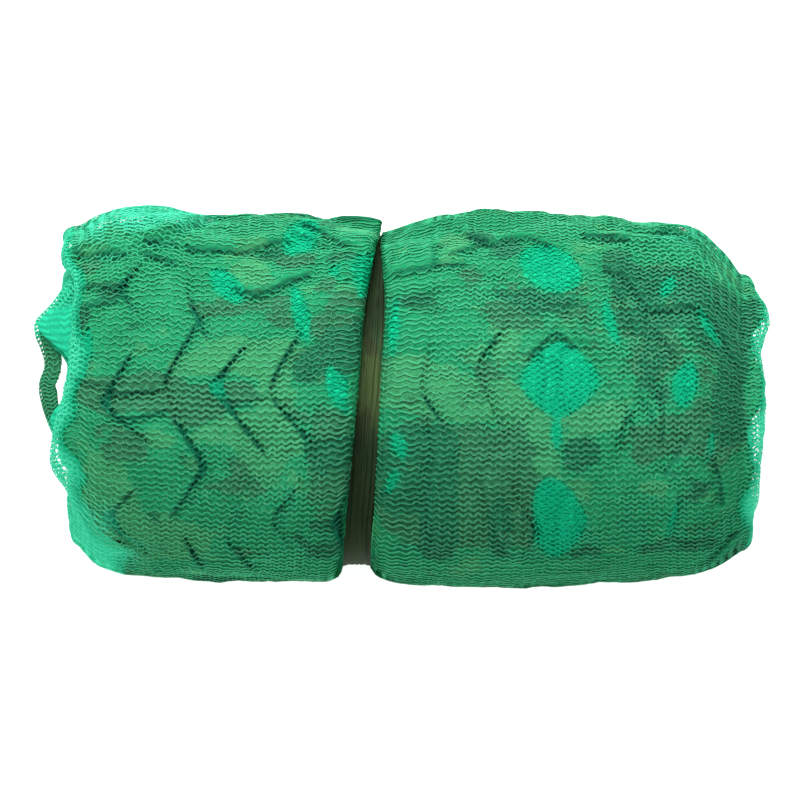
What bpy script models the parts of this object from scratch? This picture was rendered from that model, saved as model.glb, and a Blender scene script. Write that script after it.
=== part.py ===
"""Camouflage netting, folded to a strip, rolled up and tied round its middle.

The netting is one piece: a printed cloth with leaf cuts between two knitted nets. Folded
lengthwise it is a thick strip, and the strip is wound into an oval roll of four turns. A tie
of the same printed cloth draws the roll in, which leaves a lobe on each side of it.

Metres, +Z up. X runs along the roll, which lies on its broad side, and the origin is the centre
of its footprint on the surface it lies on. Run with: blender --background --python part.py
"""

import math
from collections import namedtuple

import bmesh
import bpy
from mathutils import Matrix, Vector

# The roll's cross-section at each place along it, as if no tie drew it in. The weight of the
# netting flattens what would reach below the surface it lies on, at z = 0.
Section = namedtuple("Section", "x front back bottom top")
SECTIONS = (
    Section(x=-0.226, front=-0.106, back=0.120, bottom=0.006, top=0.166),
    Section(x=-0.212, front=-0.120, back=0.128, bottom=-0.001, top=0.176),
    Section(x=-0.194, front=-0.126, back=0.133, bottom=-0.004, top=0.182),
    Section(x=-0.168, front=-0.128, back=0.134, bottom=-0.005, top=0.187),
    Section(x=-0.138, front=-0.129, back=0.131, bottom=-0.005, top=0.189),
    Section(x=-0.100, front=-0.130, back=0.130, bottom=-0.005, top=0.189),
    Section(x=-0.060, front=-0.130, back=0.130, bottom=-0.005, top=0.186),
    Section(x=0.012, front=-0.132, back=0.129, bottom=-0.005, top=0.185),
    Section(x=0.048, front=-0.134, back=0.131, bottom=-0.005, top=0.189),
    Section(x=0.082, front=-0.134, back=0.131, bottom=-0.005, top=0.192),
    Section(x=0.114, front=-0.134, back=0.129, bottom=-0.005, top=0.191),
    Section(x=0.150, front=-0.132, back=0.127, bottom=-0.005, top=0.188),
    Section(x=0.184, front=-0.128, back=0.125, bottom=-0.004, top=0.183),
    Section(x=0.206, front=-0.125, back=0.119, bottom=-0.001, top=0.178),
    Section(x=0.222, front=-0.119, back=0.105, bottom=0.004, top=0.170),
    Section(x=0.236, front=-0.109, back=0.087, bottom=0.013, top=0.159),
)
# The powers of the superellipses that each cross-section follows over and under its middle:
# round on top, and broad and flat where it lies.
TOP_SQUARENESS = 2.25
BOTTOM_SQUARENESS = 3.2

# The waist, where the tie draws the roll in. It leans, because the tie lies a little askew.
WAIST = Section(x=-0.023, front=-0.113, back=0.112, bottom=0.013, top=0.152)
WAIST_FLOOR = 0.023  # width of the flat floor that the tie lies on
WAIST_LEAN = 0.079  # how far the waist moves along X for each metre towards the back
LEAN_REACH = 0.070  # how far along X the lean fades out
SHOULDER_LEFT = 0.014  # distance along X over which the left lobe rises from the floor
SHOULDER_RIGHT = 0.024

# The wound strip.
TURNS = 4.28  # from the free end outside to the strip's start in the middle
PITCH_SHARE = 0.200  # from one turn to the next, as a share of the section's half height
LAYER_SHARE = 0.92  # the strip's thickness, as a share of that pitch
DIVE_START = 0.86  # share of a turn after which the strip slips in under the turn before it
FREE_END_ANGLE = math.radians(-14)  # where the free end lies, from +Y towards +Z
FREE_END_TAPER = 0.075  # how far the free end thins out, in turns
FREE_END_LEAST = 0.30  # share of the strip's thickness that is left at its free end
TURN_POINTS = (32, 22, 15, 10, 4)  # points round each turn, from the outermost in
CORNER_DRAW = 0.08  # how strongly those points gather at the section's corners

# Soft dents and rises of the outer turn. Angles are round the section, from +Y towards +Z.
Dent = namedtuple("Dent", "x angle reach_x reach_angle rise")
DENTS = (
    Dent(x=-0.190, angle=62, reach_x=0.030, reach_angle=22, rise=0.0035),
    Dent(x=-0.056, angle=22, reach_x=0.018, reach_angle=26, rise=-0.0035),
    Dent(x=-0.120, angle=96, reach_x=0.045, reach_angle=26, rise=0.0025),
    Dent(x=-0.165, angle=140, reach_x=0.035, reach_angle=20, rise=-0.0030),
    Dent(x=-0.085, angle=205, reach_x=0.035, reach_angle=20, rise=0.0025),
    Dent(x=0.055, angle=40, reach_x=0.030, reach_angle=18, rise=-0.0035),
    Dent(x=0.100, angle=98, reach_x=0.045, reach_angle=30, rise=0.0020),
    Dent(x=0.168, angle=64, reach_x=0.026, reach_angle=20, rise=-0.0040),
    Dent(x=0.205, angle=118, reach_x=0.030, reach_angle=22, rise=0.0030),
    Dent(x=0.150, angle=160, reach_x=0.036, reach_angle=22, rise=-0.0025),
    Dent(x=0.060, angle=200, reach_x=0.040, reach_angle=20, rise=0.0025),
    Dent(x=-0.130, angle=20, reach_x=0.040, reach_angle=20, rise=-0.0025),
    Dent(x=0.120, angle=350, reach_x=0.040, reach_angle=16, rise=-0.0030),
)

# How far the folded edges stand out at each end of the roll, going round the strip in turns
# from its free end. The fold loops at both ends are uneven.
Reach = namedtuple("Reach", "turn left right")
END_REACH = (
    Reach(turn=0.00, left=-0.002, right=0.001),
    Reach(turn=0.12, left=0.000, right=0.000),
    Reach(turn=0.25, left=-0.002, right=-0.001),
    Reach(turn=0.33, left=0.004, right=0.000),
    Reach(turn=0.40, left=-0.002, right=0.002),
    Reach(turn=0.50, left=-0.005, right=-0.001),
    Reach(turn=0.70, left=0.002, right=0.001),
    Reach(turn=0.85, left=-0.002, right=0.003),
    Reach(turn=1.02, left=0.003, right=-0.003),
    Reach(turn=1.15, left=0.000, right=-0.002),
    Reach(turn=1.22, left=0.024, right=0.010),
    Reach(turn=1.27, left=0.012, right=0.003),
    Reach(turn=1.33, left=0.015, right=0.007),
    Reach(turn=1.42, left=0.002, right=0.002),
    Reach(turn=1.60, left=0.006, right=-0.001),
    Reach(turn=1.80, left=0.001, right=0.004),
    Reach(turn=2.05, left=0.006, right=0.001),
    Reach(turn=2.25, left=0.012, right=0.005),
    Reach(turn=2.50, left=0.003, right=0.002),
    Reach(turn=2.75, left=0.008, right=0.004),
    Reach(turn=3.10, left=0.002, right=-0.002),
    Reach(turn=3.40, left=0.006, right=0.003),
    Reach(turn=3.84, left=-0.002, right=-0.004),
    Reach(turn=4.28, left=-0.004, right=-0.006),
)
REACH_FADE = 0.060  # distance from an end over which its unevenness fades out
EDGE_ROUNDING = 0.011  # depth along X over which a folded edge rounds off
EDGE_STEPS = (0.0, 0.55, 0.88, 1.0)  # shares of that depth at which it is modelled
EDGE_LEAST = 0.16  # share of the layer's thickness that is left at the very edge

# Stations along X between the ends, away from the waist.
LEFT_STATIONS = (-0.212, -0.194, -0.168, -0.138, -0.108, -0.080)
RIGHT_STATIONS = (0.040, 0.066, 0.096, 0.130, 0.164, 0.190, 0.208, 0.222)
SHOULDER_STEPS = (0.0, 0.10, 0.40, 1.0)  # shares of a shoulder's width

# The tie: a strip of the printed cloth, gathered into soft ridges along its length.
TIE_WIDTH = 0.0205
TIE_THICKNESS = 0.0022
TIE_GAP = 0.0003  # between the tie and the netting under it
TIE_RIDGES = 3
TIE_RIDGE_HEIGHT = 0.0013
TIE_STEPS_ACROSS = 12

NET_COLOUR = (0.05, 0.42, 0.22, 1.0)
TIE_COLOUR = (0.10, 0.11, 0.06, 1.0)
CLOTH_ROUGHNESS = 0.85
SHARP_FROM = math.radians(50)  # edges bent further than this are shaded sharp
STRAIGHT = 1e-9  # square metres: a corner that spans less lies on a straight line


def smooth_step(share):
    """0 to 1 with a level start and end, for a share that may lie outside that range."""
    share = min(max(share, 0.0), 1.0)
    return share * share * (3 - 2 * share)


def smooth_between(rows, at, x):
    """The columns of rows at x, on a smooth curve through the rows. at names the x column."""
    places = [getattr(row, at) for row in rows]
    last = len(rows) - 1
    x = min(max(x, places[0]), places[last])
    i = max(k for k in range(last) if places[k] <= x)
    step = places[i + 1] - places[i]
    t = (x - places[i]) / step
    values = []
    for column in range(len(rows[0])):
        def slope(k):
            a, b = max(k - 1, 0), min(k + 1, last)
            return (rows[b][column] - rows[a][column]) / (places[b] - places[a])

        y0, y1 = rows[i][column], rows[i + 1][column]
        values.append(
            (2 * t**3 - 3 * t**2 + 1) * y0
            + (t**3 - 2 * t**2 + t) * step * slope(i)
            + (3 * t**2 - 2 * t**3) * y1
            + (t**3 - t**2) * step * slope(i + 1)
        )
    return type(rows[0])(*values)


def lobe_share(x):
    """0 on the waist's floor, rising to 1 on the lobes either side of it."""
    shoulder = SHOULDER_LEFT if x < WAIST.x else SHOULDER_RIGHT
    off = (abs(x - WAIST.x) - WAIST_FLOOR / 2) / shoulder
    off = min(max(off, 0.0), 1.0)
    return math.sqrt(1 - (1 - off) ** 2)


def section_at(x):
    """The roll's cross-section at x, drawn in at the waist."""
    lobe = smooth_between(SECTIONS, "x", x)
    share = lobe_share(x)
    return Section(*(w + (v - w) * share for w, v in zip(WAIST, lobe)))


def rise_at(x, angle):
    """How far the dents and rises of the outer turn move it outwards."""
    total = 0.0
    for dent in DENTS:
        turned = (math.degrees(angle) - dent.angle + 180) % 360 - 180
        off = ((x - dent.x) / dent.reach_x) ** 2 + (turned / dent.reach_angle) ** 2
        total += dent.rise * math.exp(-off)
    return total * lobe_share(x)


def round_section(section, inset, angle):
    """(y, z) on a section's outline, moved in by inset. Angles run from +Y towards +Z."""
    half_y = (section.back - section.front) / 2 - inset
    half_z = (section.top - section.bottom) / 2 - inset
    c, s = math.cos(angle), math.sin(angle)
    power = TOP_SQUARENESS if s > 0 else BOTTOM_SQUARENESS
    out = (abs(c) ** power + abs(s) ** power) ** (-1 / power)
    y = (section.back + section.front) / 2 + out * half_y * c
    z = (section.top + section.bottom) / 2 + out * half_z * s
    return y, max(z, 0.0)


def leaned(x, y):
    """x moved along the roll where the waist's lean reaches it."""
    return x + WAIST_LEAN * y * math.exp(-(((x - WAIST.x) / LEAN_REACH) ** 2))


def turns_round():
    """Places along the wound strip, in turns from its free end."""
    places = []
    for turn, points in enumerate(TURN_POINTS):
        end = min(turn + 1, TURNS)
        places += [turn + (end - turn) * k / points for k in range(points)]
    return places + [TURNS]


def angle_at(turn):
    """The angle round the section at a place along the strip, drawn towards the corners."""
    angle = 2 * math.pi * turn + FREE_END_ANGLE
    return angle + CORNER_DRAW * math.sin(4 * angle)


def layer_insets(x, section, turn):
    """How far inside the section the strip's outer and inner faces lie at one place."""
    pitch = PITCH_SHARE * (section.top - section.bottom) / 2
    layer = LAYER_SHARE * pitch
    dive = smooth_step((turn % 1 - DIVE_START) / (1 - DIVE_START))
    outer = pitch * (int(turn) + dive)
    inner = outer + layer
    if turn < 1:
        outer -= rise_at(x, angle_at(turn)) * (1 - dive)
        tapered = 1 - smooth_step(turn / FREE_END_TAPER)
        outer += (inner - outer) * (1 - FREE_END_LEAST) * tapered
    return outer, inner


def strip_face(x, section, turn, further, thinned):
    """The strip's outer and inner point at one place, thinned towards its middle."""
    outer, inner = layer_insets(x, section, turn)
    middle = (outer + inner) / 2
    along = end_reach(x, turn) + further
    points = []
    for face in (outer, inner):
        y, z = round_section(section, middle + (face - middle) * thinned, angle_at(turn))
        points.append(Vector((leaned(x, y) + along, y, z)))
    return points


def end_reach(x, turn):
    """How far x moves out along X where the folded edge stands out."""
    reach = smooth_between(END_REACH, "turn", turn)
    if x < 0:
        return -reach.left * smooth_step((SECTIONS[0].x + REACH_FADE - x) / REACH_FADE)
    return reach.right * smooth_step((x - SECTIONS[-1].x + REACH_FADE) / REACH_FADE)


def stations():
    """(x, further along X, share of the thickness) of each ring of the strip."""
    rounding = []
    for step in EDGE_STEPS:
        left = max(math.sqrt(1 - step**2), EDGE_LEAST)
        rounding.append((step * EDGE_ROUNDING, left))
    half = WAIST_FLOOR / 2
    xs = list(LEFT_STATIONS)
    xs += [WAIST.x - half - SHOULDER_LEFT * s for s in reversed(SHOULDER_STEPS)]
    xs += [WAIST.x + half + SHOULDER_RIGHT * s for s in SHOULDER_STEPS]
    xs += list(RIGHT_STATIONS)
    first = [(SECTIONS[0].x, -deep, left) for deep, left in reversed(rounding)]
    last = [(SECTIONS[-1].x, deep, left) for deep, left in rounding]
    return first + [(x, 0.0, 1.0) for x in xs] + last


def rolled_netting():
    """The wound strip, a closed loft from ring to ring along the roll."""
    mesh = bmesh.new()
    rings = []
    for x, further, thinned in stations():
        section = section_at(x)
        pairs = [strip_face(x, section, turn, further, thinned) for turn in turns_round()]
        outer = [mesh.verts.new(pair[0]) for pair in pairs]
        inner = [mesh.verts.new(pair[1]) for pair in pairs]
        rings.append((outer, inner))
    count = len(turns_round())
    for (outer_a, inner_a), (outer_b, inner_b) in zip(rings, rings[1:]):
        for k in range(count - 1):
            mesh.faces.new((outer_a[k], outer_b[k], outer_b[k + 1], outer_a[k + 1]))
            mesh.faces.new((inner_a[k], inner_a[k + 1], inner_b[k + 1], inner_b[k]))
        for k in (0, count - 1):
            mesh.faces.new((outer_a[k], inner_a[k], inner_b[k], outer_b[k]))
    for outer, inner in (rings[0], rings[-1]):
        for k in range(count - 1):
            mesh.faces.new((outer[k], outer[k + 1], inner[k + 1], inner[k]))
    bmesh.ops.recalc_face_normals(mesh, faces=mesh.faces)
    return mesh


def hull(points):
    """The corners of the tightest loop round points in a plane, in order."""
    points = sorted(set(points))
    corners = []
    for row in (points, points[::-1]):
        chain = []
        for y, z in row:
            while len(chain) > 1:
                (y0, z0), (y1, z1) = chain[-2:]
                if (y1 - y0) * (z - z0) - (z1 - z0) * (y - y0) > STRAIGHT:
                    break
                chain.pop()
            chain.append((y, z))
        corners += chain[:-1]
    return corners


def moved_out(loop, k):
    """How a loop's corner k moves for each metre that the loop's sides move outwards."""
    sides = []
    for a, b in ((k - 1, k), (k, (k + 1) % len(loop))):
        along = Vector(loop[b]) - Vector(loop[a])
        sides.append(Vector((along.y, -along.x)).normalized())
    return (sides[0] + sides[1]) / (1 + sides[0].dot(sides[1]))


def tie_underside():
    """The underside of the tie, which is pulled tight round the waist's hull."""
    mesh = bmesh.new()
    waist = [strip_face(WAIST.x, WAIST, turn, 0.0, 1.0)[0] for turn in turns_round()]
    loop = hull([(point.y, point.z) for point in waist])
    rows = []
    for k, corner in enumerate(loop):
        row = []
        for j in range(TIE_STEPS_ACROSS + 1):
            across = j / TIE_STEPS_ACROSS - 0.5
            ridge = (1 + math.cos(2 * math.pi * TIE_RIDGES * across)) / 2 * TIE_RIDGE_HEIGHT
            y, z = Vector(corner) + moved_out(loop, k) * (TIE_GAP + ridge)
            row.append(mesh.verts.new((leaned(WAIST.x, y) + across * TIE_WIDTH, y, z)))
        rows.append(row)
    for row, following in zip(rows, rows[1:] + rows[:1]):
        for j in range(TIE_STEPS_ACROSS):
            mesh.faces.new((row[j], following[j], following[j + 1], row[j + 1]))
    return mesh


def cloth_material(name, colour):
    material = bpy.data.materials.new(name)
    material.use_nodes = True
    shader = material.node_tree.nodes["Principled BSDF"]
    shader.inputs["Base Color"].default_value = colour
    shader.inputs["Roughness"].default_value = CLOTH_ROUGHNESS
    shader.inputs["Metallic"].default_value = 0.0
    return material


def add_piece(name, collection, mesh, material):
    """Makes a new object of a bmesh, in the collection."""
    data = bpy.data.meshes.new(name)
    mesh.to_mesh(data)
    mesh.free()
    data.shade_smooth()
    data.set_sharp_from_angle(angle=SHARP_FROM)
    data.materials.append(material)
    piece = bpy.data.objects.new(name, data)
    collection.objects.link(piece)
    return piece


def thicken(piece, thickness):
    """Makes an open surface a solid, which grows on the side that its faces point to."""
    solidify = piece.modifiers.new("thickness", "SOLIDIFY")
    solidify.thickness = thickness
    solidify.offset = 1.0
    solidify.use_even_offset = True


def centre_on_footprint(pieces):
    """Moves all pieces together, so that the origin is the centre of their footprint."""
    points = [v.co for piece in pieces for v in piece.data.vertices]
    low = Vector([min(p[axis] for p in points) for axis in range(3)])
    high = Vector([max(p[axis] for p in points) for axis in range(3)])
    middle = (low + high) / 2
    for piece in pieces:
        piece.data.transform(Matrix.Translation((-middle.x, -middle.y, -low.z)))


def main():
    for old in list(bpy.data.objects):
        bpy.data.objects.remove(old)
    collection = bpy.data.collections.new("camouflage_netting")
    bpy.context.scene.collection.children.link(collection)
    net_cloth = cloth_material("netting", NET_COLOUR)
    tie_cloth = cloth_material("tie_cloth", TIE_COLOUR)
    net = add_piece("rolled_netting", collection, rolled_netting(), net_cloth)
    tie = add_piece("tie_band", collection, tie_underside(), tie_cloth)
    thicken(tie, TIE_THICKNESS)
    centre_on_footprint((net, tie))


main()
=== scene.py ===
"""Looks for the camouflage netting: a roll of printed cloth between knitted nets, tied round.

The roll's shape repeats the part's own: a strip wound in four turns, drawn in at the waist.
Cloth and knit lie on that shape, a little above or below the strip's outer face. A place on
the outer turn is given by x along the roll and by s, the length along the strip from its
free end. Heights are over the strip's face. Places "as seen" are from the middle of the
object, across and up, as the camera over the roll sees them. Angles in tables are degrees
round the section: 0 at the roll's back, 90 on its top. What isn't said to be in mm is in metres.
"""

import math
from collections import namedtuple

import bpy
import numpy as np
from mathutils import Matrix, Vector
from mathutils.geometry import delaunay_2d_cdt


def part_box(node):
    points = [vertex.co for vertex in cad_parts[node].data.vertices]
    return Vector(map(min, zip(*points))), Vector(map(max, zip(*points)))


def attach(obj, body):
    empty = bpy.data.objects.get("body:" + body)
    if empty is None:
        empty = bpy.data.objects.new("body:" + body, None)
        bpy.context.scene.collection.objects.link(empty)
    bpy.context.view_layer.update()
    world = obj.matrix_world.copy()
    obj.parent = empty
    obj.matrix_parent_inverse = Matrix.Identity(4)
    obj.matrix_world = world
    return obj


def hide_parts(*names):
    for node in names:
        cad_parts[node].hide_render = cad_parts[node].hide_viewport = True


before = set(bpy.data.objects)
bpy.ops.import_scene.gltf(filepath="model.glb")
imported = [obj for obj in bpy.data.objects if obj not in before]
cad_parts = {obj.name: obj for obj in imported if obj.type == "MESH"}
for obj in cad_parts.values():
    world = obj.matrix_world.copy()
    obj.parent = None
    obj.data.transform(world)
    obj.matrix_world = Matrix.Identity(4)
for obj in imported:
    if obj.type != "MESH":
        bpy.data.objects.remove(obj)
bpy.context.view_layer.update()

MM = 0.001
BOTH = (-1, 1)  # the roll's left and right ends


def table(columns, *rows, defaults=()):
    """Rows of values under named columns."""
    kind = namedtuple("Row", columns, defaults=defaults)
    return tuple(kind(*row) for row in rows)


# ------------ the roll's shape

SECTIONS = table("x front back bottom top",
    (-0.226, -0.106, 0.120, 0.006, 0.166),
    (-0.212, -0.120, 0.128, -0.001, 0.176),
    (-0.194, -0.126, 0.133, -0.004, 0.182),
    (-0.168, -0.128, 0.134, -0.005, 0.187),
    (-0.138, -0.129, 0.131, -0.005, 0.189),
    (-0.100, -0.130, 0.130, -0.005, 0.189),
    (-0.060, -0.130, 0.130, -0.005, 0.186),
    (0.012, -0.132, 0.129, -0.005, 0.185),
    (0.048, -0.134, 0.131, -0.005, 0.189),
    (0.082, -0.134, 0.131, -0.005, 0.192),
    (0.114, -0.134, 0.129, -0.005, 0.191),
    (0.150, -0.132, 0.127, -0.005, 0.188),
    (0.184, -0.128, 0.125, -0.004, 0.183),
    (0.206, -0.125, 0.119, -0.001, 0.178),
    (0.222, -0.119, 0.105, 0.004, 0.170),
    (0.236, -0.109, 0.087, 0.013, 0.159)
)
LEFT_END = SECTIONS[0].x
RIGHT_END = SECTIONS[-1].x
TOP_SQUARENESS = 2.25
BOTTOM_SQUARENESS = 3.2
WAIST = table("x front back bottom top", (-0.023, -0.113, 0.112, 0.013, 0.152))[0]
WAIST_FLOOR = 0.023
WAIST_LEAN = 0.079
LEAN_REACH = 0.070
SHOULDER_LEFT = 0.014
SHOULDER_RIGHT = 0.024
TURNS = 4.28
PITCH_SHARE = 0.200
LAYER_SHARE = 0.92
DIVE_START = 0.86
FREE_END_ANGLE = math.radians(-14)
FREE_END_TAPER = 0.075
FREE_END_LEAST = 0.30
CORNER_DRAW = 0.08
EDGE_ROUNDING = 0.011
LEAST_Z = 0.0013  # over the floor, for threads and cloth pressed on it

# Dents and rises of the outer turn.
DENTS = table("x angle reach_x reach_angle size",
    (-0.190, 62, 0.030, 22, 0.0035),
    (-0.056, 22, 0.018, 26, -0.0035),
    (-0.120, 96, 0.045, 26, 0.0025),
    (-0.165, 140, 0.035, 20, -0.0030),
    (-0.085, 205, 0.035, 20, 0.0025),
    (0.055, 40, 0.030, 18, -0.0035),
    (0.100, 98, 0.045, 30, 0.0020),
    (0.168, 64, 0.026, 20, -0.0040),
    (0.205, 118, 0.030, 22, 0.0030),
    (0.150, 160, 0.036, 22, -0.0025),
    (0.060, 200, 0.040, 20, 0.0025),
    (-0.130, 20, 0.040, 20, -0.0025),
    (0.120, 350, 0.040, 16, -0.0030)
)

# How far the folded edges stand out at each end of the strip, turn by turn.
END_REACH = table("turn left right",
    (0.00, -0.002, -0.005), (0.12, 0.002, 0.004), (0.15, -0.001, 0.008), (0.175, -0.006, 0.009),
    (0.20, -0.007, 0.008), (0.225, -0.006, 0.003), (0.25, -0.005, 0.005), (0.28, -0.003, 0.006),
    (0.33, 0.007, 0.003), (0.36, 0.006, 0.001), (0.40, -0.004, -0.002), (0.45, -0.008, -0.005),
    (0.50, -0.006, -0.004), (0.70, 0.002, 0.001), (0.85, -0.002, 0.003), (1.02, 0.003, -0.003),
    (1.15, 0.000, -0.002), (1.20, 0.010, 0.001), (1.235, 0.024, 0.003), (1.27, 0.012, 0.000),
    (1.33, 0.015, 0.004), (1.42, 0.002, 0.002), (1.60, 0.006, -0.001), (1.80, 0.001, 0.004),
    (2.05, 0.006, 0.001), (2.25, 0.012, 0.005), (2.50, 0.003, 0.002), (2.75, 0.008, 0.004),
    (3.10, 0.002, -0.002), (3.40, 0.006, 0.003), (3.84, -0.002, -0.004), (4.28, -0.004, -0.006)
)

# How far the lobes' loose netting hangs in over the tie: a little on top, and more towards
# the back, where the lobes press together.
OVERHANGS = table("angle left right",
    (-90, 0.0030, 0.0045), (-20, 0.0080, 0.0100), (12, 0.0145, 0.0165), (36, 0.0112, 0.0156),
    (60, 0.0072, 0.0100), (90, 0.0068, 0.0084), (130, 0.0042, 0.0054), (180, 0.0034, 0.0045),
    (270, 0.0030, 0.0045)
)
OVERHANG_PEAK = 2.9  # makes 1 of the highest value of the overhang's shape

# Where the loose netting lies lower than the strip's face.
SAGS = table("x angle reach_x reach_angle size", (-0.010, 12, 0.017, 34, 0.0190))


def smooth_step(share):
    """0 to 1 with a level start and end, for shares that may lie outside that range."""
    share = np.clip(share, 0.0, 1.0)
    return share * share * (3 - 2 * share)


def smooth_through(rows, at):
    """The other columns of rows, on a smooth curve through them, where the first one is at."""
    rows = np.array(rows, float)
    places, values = rows[:, 0], rows[:, 1:]
    before = np.maximum(np.arange(len(rows)) - 1, 0)
    after = np.minimum(np.arange(len(rows)) + 1, len(rows) - 1)
    slopes = (values[after] - values[before]) / (places[after] - places[before])[:, None]
    at = np.clip(np.asarray(at, float), places[0], places[-1])
    i = np.clip(np.searchsorted(places, at, side="right") - 1, 0, len(rows) - 2)
    step = (places[i + 1] - places[i])[..., None]
    t = (at - places[i])[..., None] / step
    return (
        (2 * t**3 - 3 * t**2 + 1) * values[i]
        + (t**3 - 2 * t**2 + t) * step * slopes[i]
        + (3 * t**2 - 2 * t**3) * values[i + 1]
        + (t**3 - t**2) * step * slopes[i + 1]
    )


def hump(away, reach, power=2):
    """1 at no distance away, and falling to nothing beyond the reach."""
    return np.exp(-((away / reach) ** power))


def humps(rows, x, angle):
    """The humps of a table added up, at places along and round the roll."""
    total = np.zeros(np.broadcast(x, angle).shape)
    for row in rows:
        turned = (np.degrees(angle) - row.angle + 180) % 360 - 180
        total += row.size * np.exp(
            -(((x - row.x) / row.reach_x) ** 2) - (turned / row.reach_angle) ** 2
        )
    return total


def lobe_share(x):
    """0 on the waist's floor, rising to 1 on the lobes either side of it."""
    shoulder = np.where(x < WAIST.x, SHOULDER_LEFT, SHOULDER_RIGHT)
    off = np.clip((np.abs(x - WAIST.x) - WAIST_FLOOR / 2) / shoulder, 0.0, 1.0)
    return np.sqrt(1 - (1 - off) ** 2)


def section_at(x):
    """front, back, bottom and top of the roll's cross-section at x."""
    share = lobe_share(x)[..., None]
    lobe = smooth_through(SECTIONS, x)
    return np.moveaxis(np.array(WAIST[1:]) + (lobe - np.array(WAIST[1:])) * share, -1, 0)


def angle_at(turn):
    angle = 2 * math.pi * turn + FREE_END_ANGLE
    return angle + CORNER_DRAW * np.sin(4 * angle)


def face_insets(x, turn):
    """How far inside the section the strip's outer and inner faces lie."""
    _, _, bottom, top = section_at(x)
    pitch = PITCH_SHARE * (top - bottom) / 2
    dive = smooth_step((turn % 1 - DIVE_START) / (1 - DIVE_START))
    outer = pitch * (np.floor(turn) + dive)
    inner = outer + LAYER_SHARE * pitch
    taper = 1 - smooth_step(turn / FREE_END_TAPER)
    shaped = outer - humps(DENTS, x, angle_at(turn)) * lobe_share(x) * (1 - dive)
    shaped = shaped + (inner - shaped) * (1 - FREE_END_LEAST) * taper
    return np.where(turn < 1, shaped, outer), inner


def leaned(x, y):
    """x moved along the roll where the waist's lean reaches it."""
    return x + WAIST_LEAN * y * hump(x - WAIST.x, LEAN_REACH)


def at_inset(x, turn, inset):
    """Points inside the section by inset, before the part is centred."""
    front, back, bottom, top = section_at(x)
    half_y, half_z = (back - front) / 2 - inset, (top - bottom) / 2 - inset
    c, s = np.cos(angle_at(turn)), np.sin(angle_at(turn))
    power = np.where(s > 0, TOP_SQUARENESS, BOTTOM_SQUARENESS)
    out = (np.abs(c) ** power + np.abs(s) ** power) ** (-1 / power)
    y = (back + front) / 2 + out * half_y * c
    z = (top + bottom) / 2 + out * half_z * s
    return np.stack([leaned(x, y), y, z], axis=-1)


def footprint_shift():
    """How the part moved its pieces to centre their footprint on the origin."""
    low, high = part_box("tie_band")
    tie = at_inset(np.full(400, WAIST.x), np.linspace(0, 1, 400), 0.0)
    x, turn = np.meshgrid(np.linspace(LEFT_END, RIGHT_END, 100), np.linspace(0, 0.9, 200))
    y = at_inset(x, turn, face_insets(x, turn)[0])[..., 1]
    return np.array(
        [(low.x + high.x - tie[:, 0].min() - tie[:, 0].max()) / 2, -(y.min() + y.max()) / 2, 0]
    )


SHIFT = footprint_shift()


def placed(points):
    """Points moved to where the part is, and kept over the floor."""
    points = points + SHIFT
    points[..., 2] = np.maximum(points[..., 2], LEAST_Z)
    return points


def hung_over(x, turn):
    """How far the netting at x moves along the roll where it hangs over the tie."""
    share = lobe_share(x)
    degrees = (np.degrees(angle_at(turn)) + 90) % 360 - 90
    reach = smooth_through(OVERHANGS, degrees)
    reach = np.where(x < WAIST.x, reach[..., 0], -reach[..., 1])
    return reach * OVERHANG_PEAK * share**1.3 * np.sqrt(1 - share) * smooth_step(share * 4)


def sagged(x, turn):
    """How far inwards the netting of the outer turn lies at a place."""
    return humps(SAGS, x, angle_at(turn)) * lobe_share(x) ** 2 * (x > WAIST.x)


def on_roll(x, turn, height):
    """Points in the frame, at a height over the strip's outer face."""
    x, turn, height = np.broadcast_arrays(x, turn, height)
    inset = face_insets(x, turn)[0] + sagged(x, turn) - height
    points = placed(at_inset(x, turn, inset))
    points[..., 0] += hung_over(x, turn)
    return points


# ------------ places on the outer turn

REFERENCE_X = 0.082  # the section whose girth gives s
RING_TURNS = np.linspace(0.0, 1.10, 2201)
ring = on_roll(np.full(2201, REFERENCE_X), RING_TURNS, np.zeros(2201))
RING_LENGTHS = np.concatenate([[0.0], np.cumsum(np.linalg.norm(np.diff(ring, axis=0), axis=1))])


def turn_at(s):
    """The turn at lengths s; those before the free end count as the free end."""
    return np.interp(s, RING_LENGTHS, RING_TURNS)


def length_at(turn):
    return np.interp(turn, RING_TURNS, RING_LENGTHS)


OUTER_LENGTH = float(length_at(1.0))
MIDDLE_HEIGHT = 0.090  # the height at which the view has the photograph's scale
CAMERA_HEIGHT = 6.0
CAMERA_X, CAMERA_Y = 0.00035, -0.00105
VIEW_WIDTH = 0.560
SEEN_TURNS = np.linspace(0.045, 0.56, 900)


def end_apex(side, turn):
    """x where the folded edge stands out furthest, at the left (-1) or right (1) end."""
    reach = smooth_through(END_REACH, turn)
    if side < 0:
        return LEFT_END - EDGE_ROUNDING - reach[..., 0]
    return RIGHT_END + EDGE_ROUNDING + reach[..., 1]


def place_seen(across, up):
    """(x, s) of what shows at a place as seen from above."""
    nearer = 1.0
    along = across
    turn = 0.25
    for _ in range(6):
        x, y = across * nearer - SHIFT[0], up * nearer - SHIFT[1]
        x = x - hung_over(np.array(along), np.array(turn))
        for _ in range(3):
            along = x - (leaned(along, y) - along)
        ring = on_roll(np.full(len(SEEN_TURNS), along), SEEN_TURNS, np.zeros(len(SEEN_TURNS)))
        turn = np.interp(-up * nearer, -ring[:, 1], SEEN_TURNS)
        z = np.interp(turn, SEEN_TURNS, ring[:, 2])
        nearer = (CAMERA_HEIGHT - z) / (CAMERA_HEIGHT - MIDDLE_HEIGHT)
    return float(along), float(length_at(turn))


def seen_mm(row):
    """(x, s) of the place of a table's row."""
    return place_seen(row.x * MM, row.y * MM)


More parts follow.
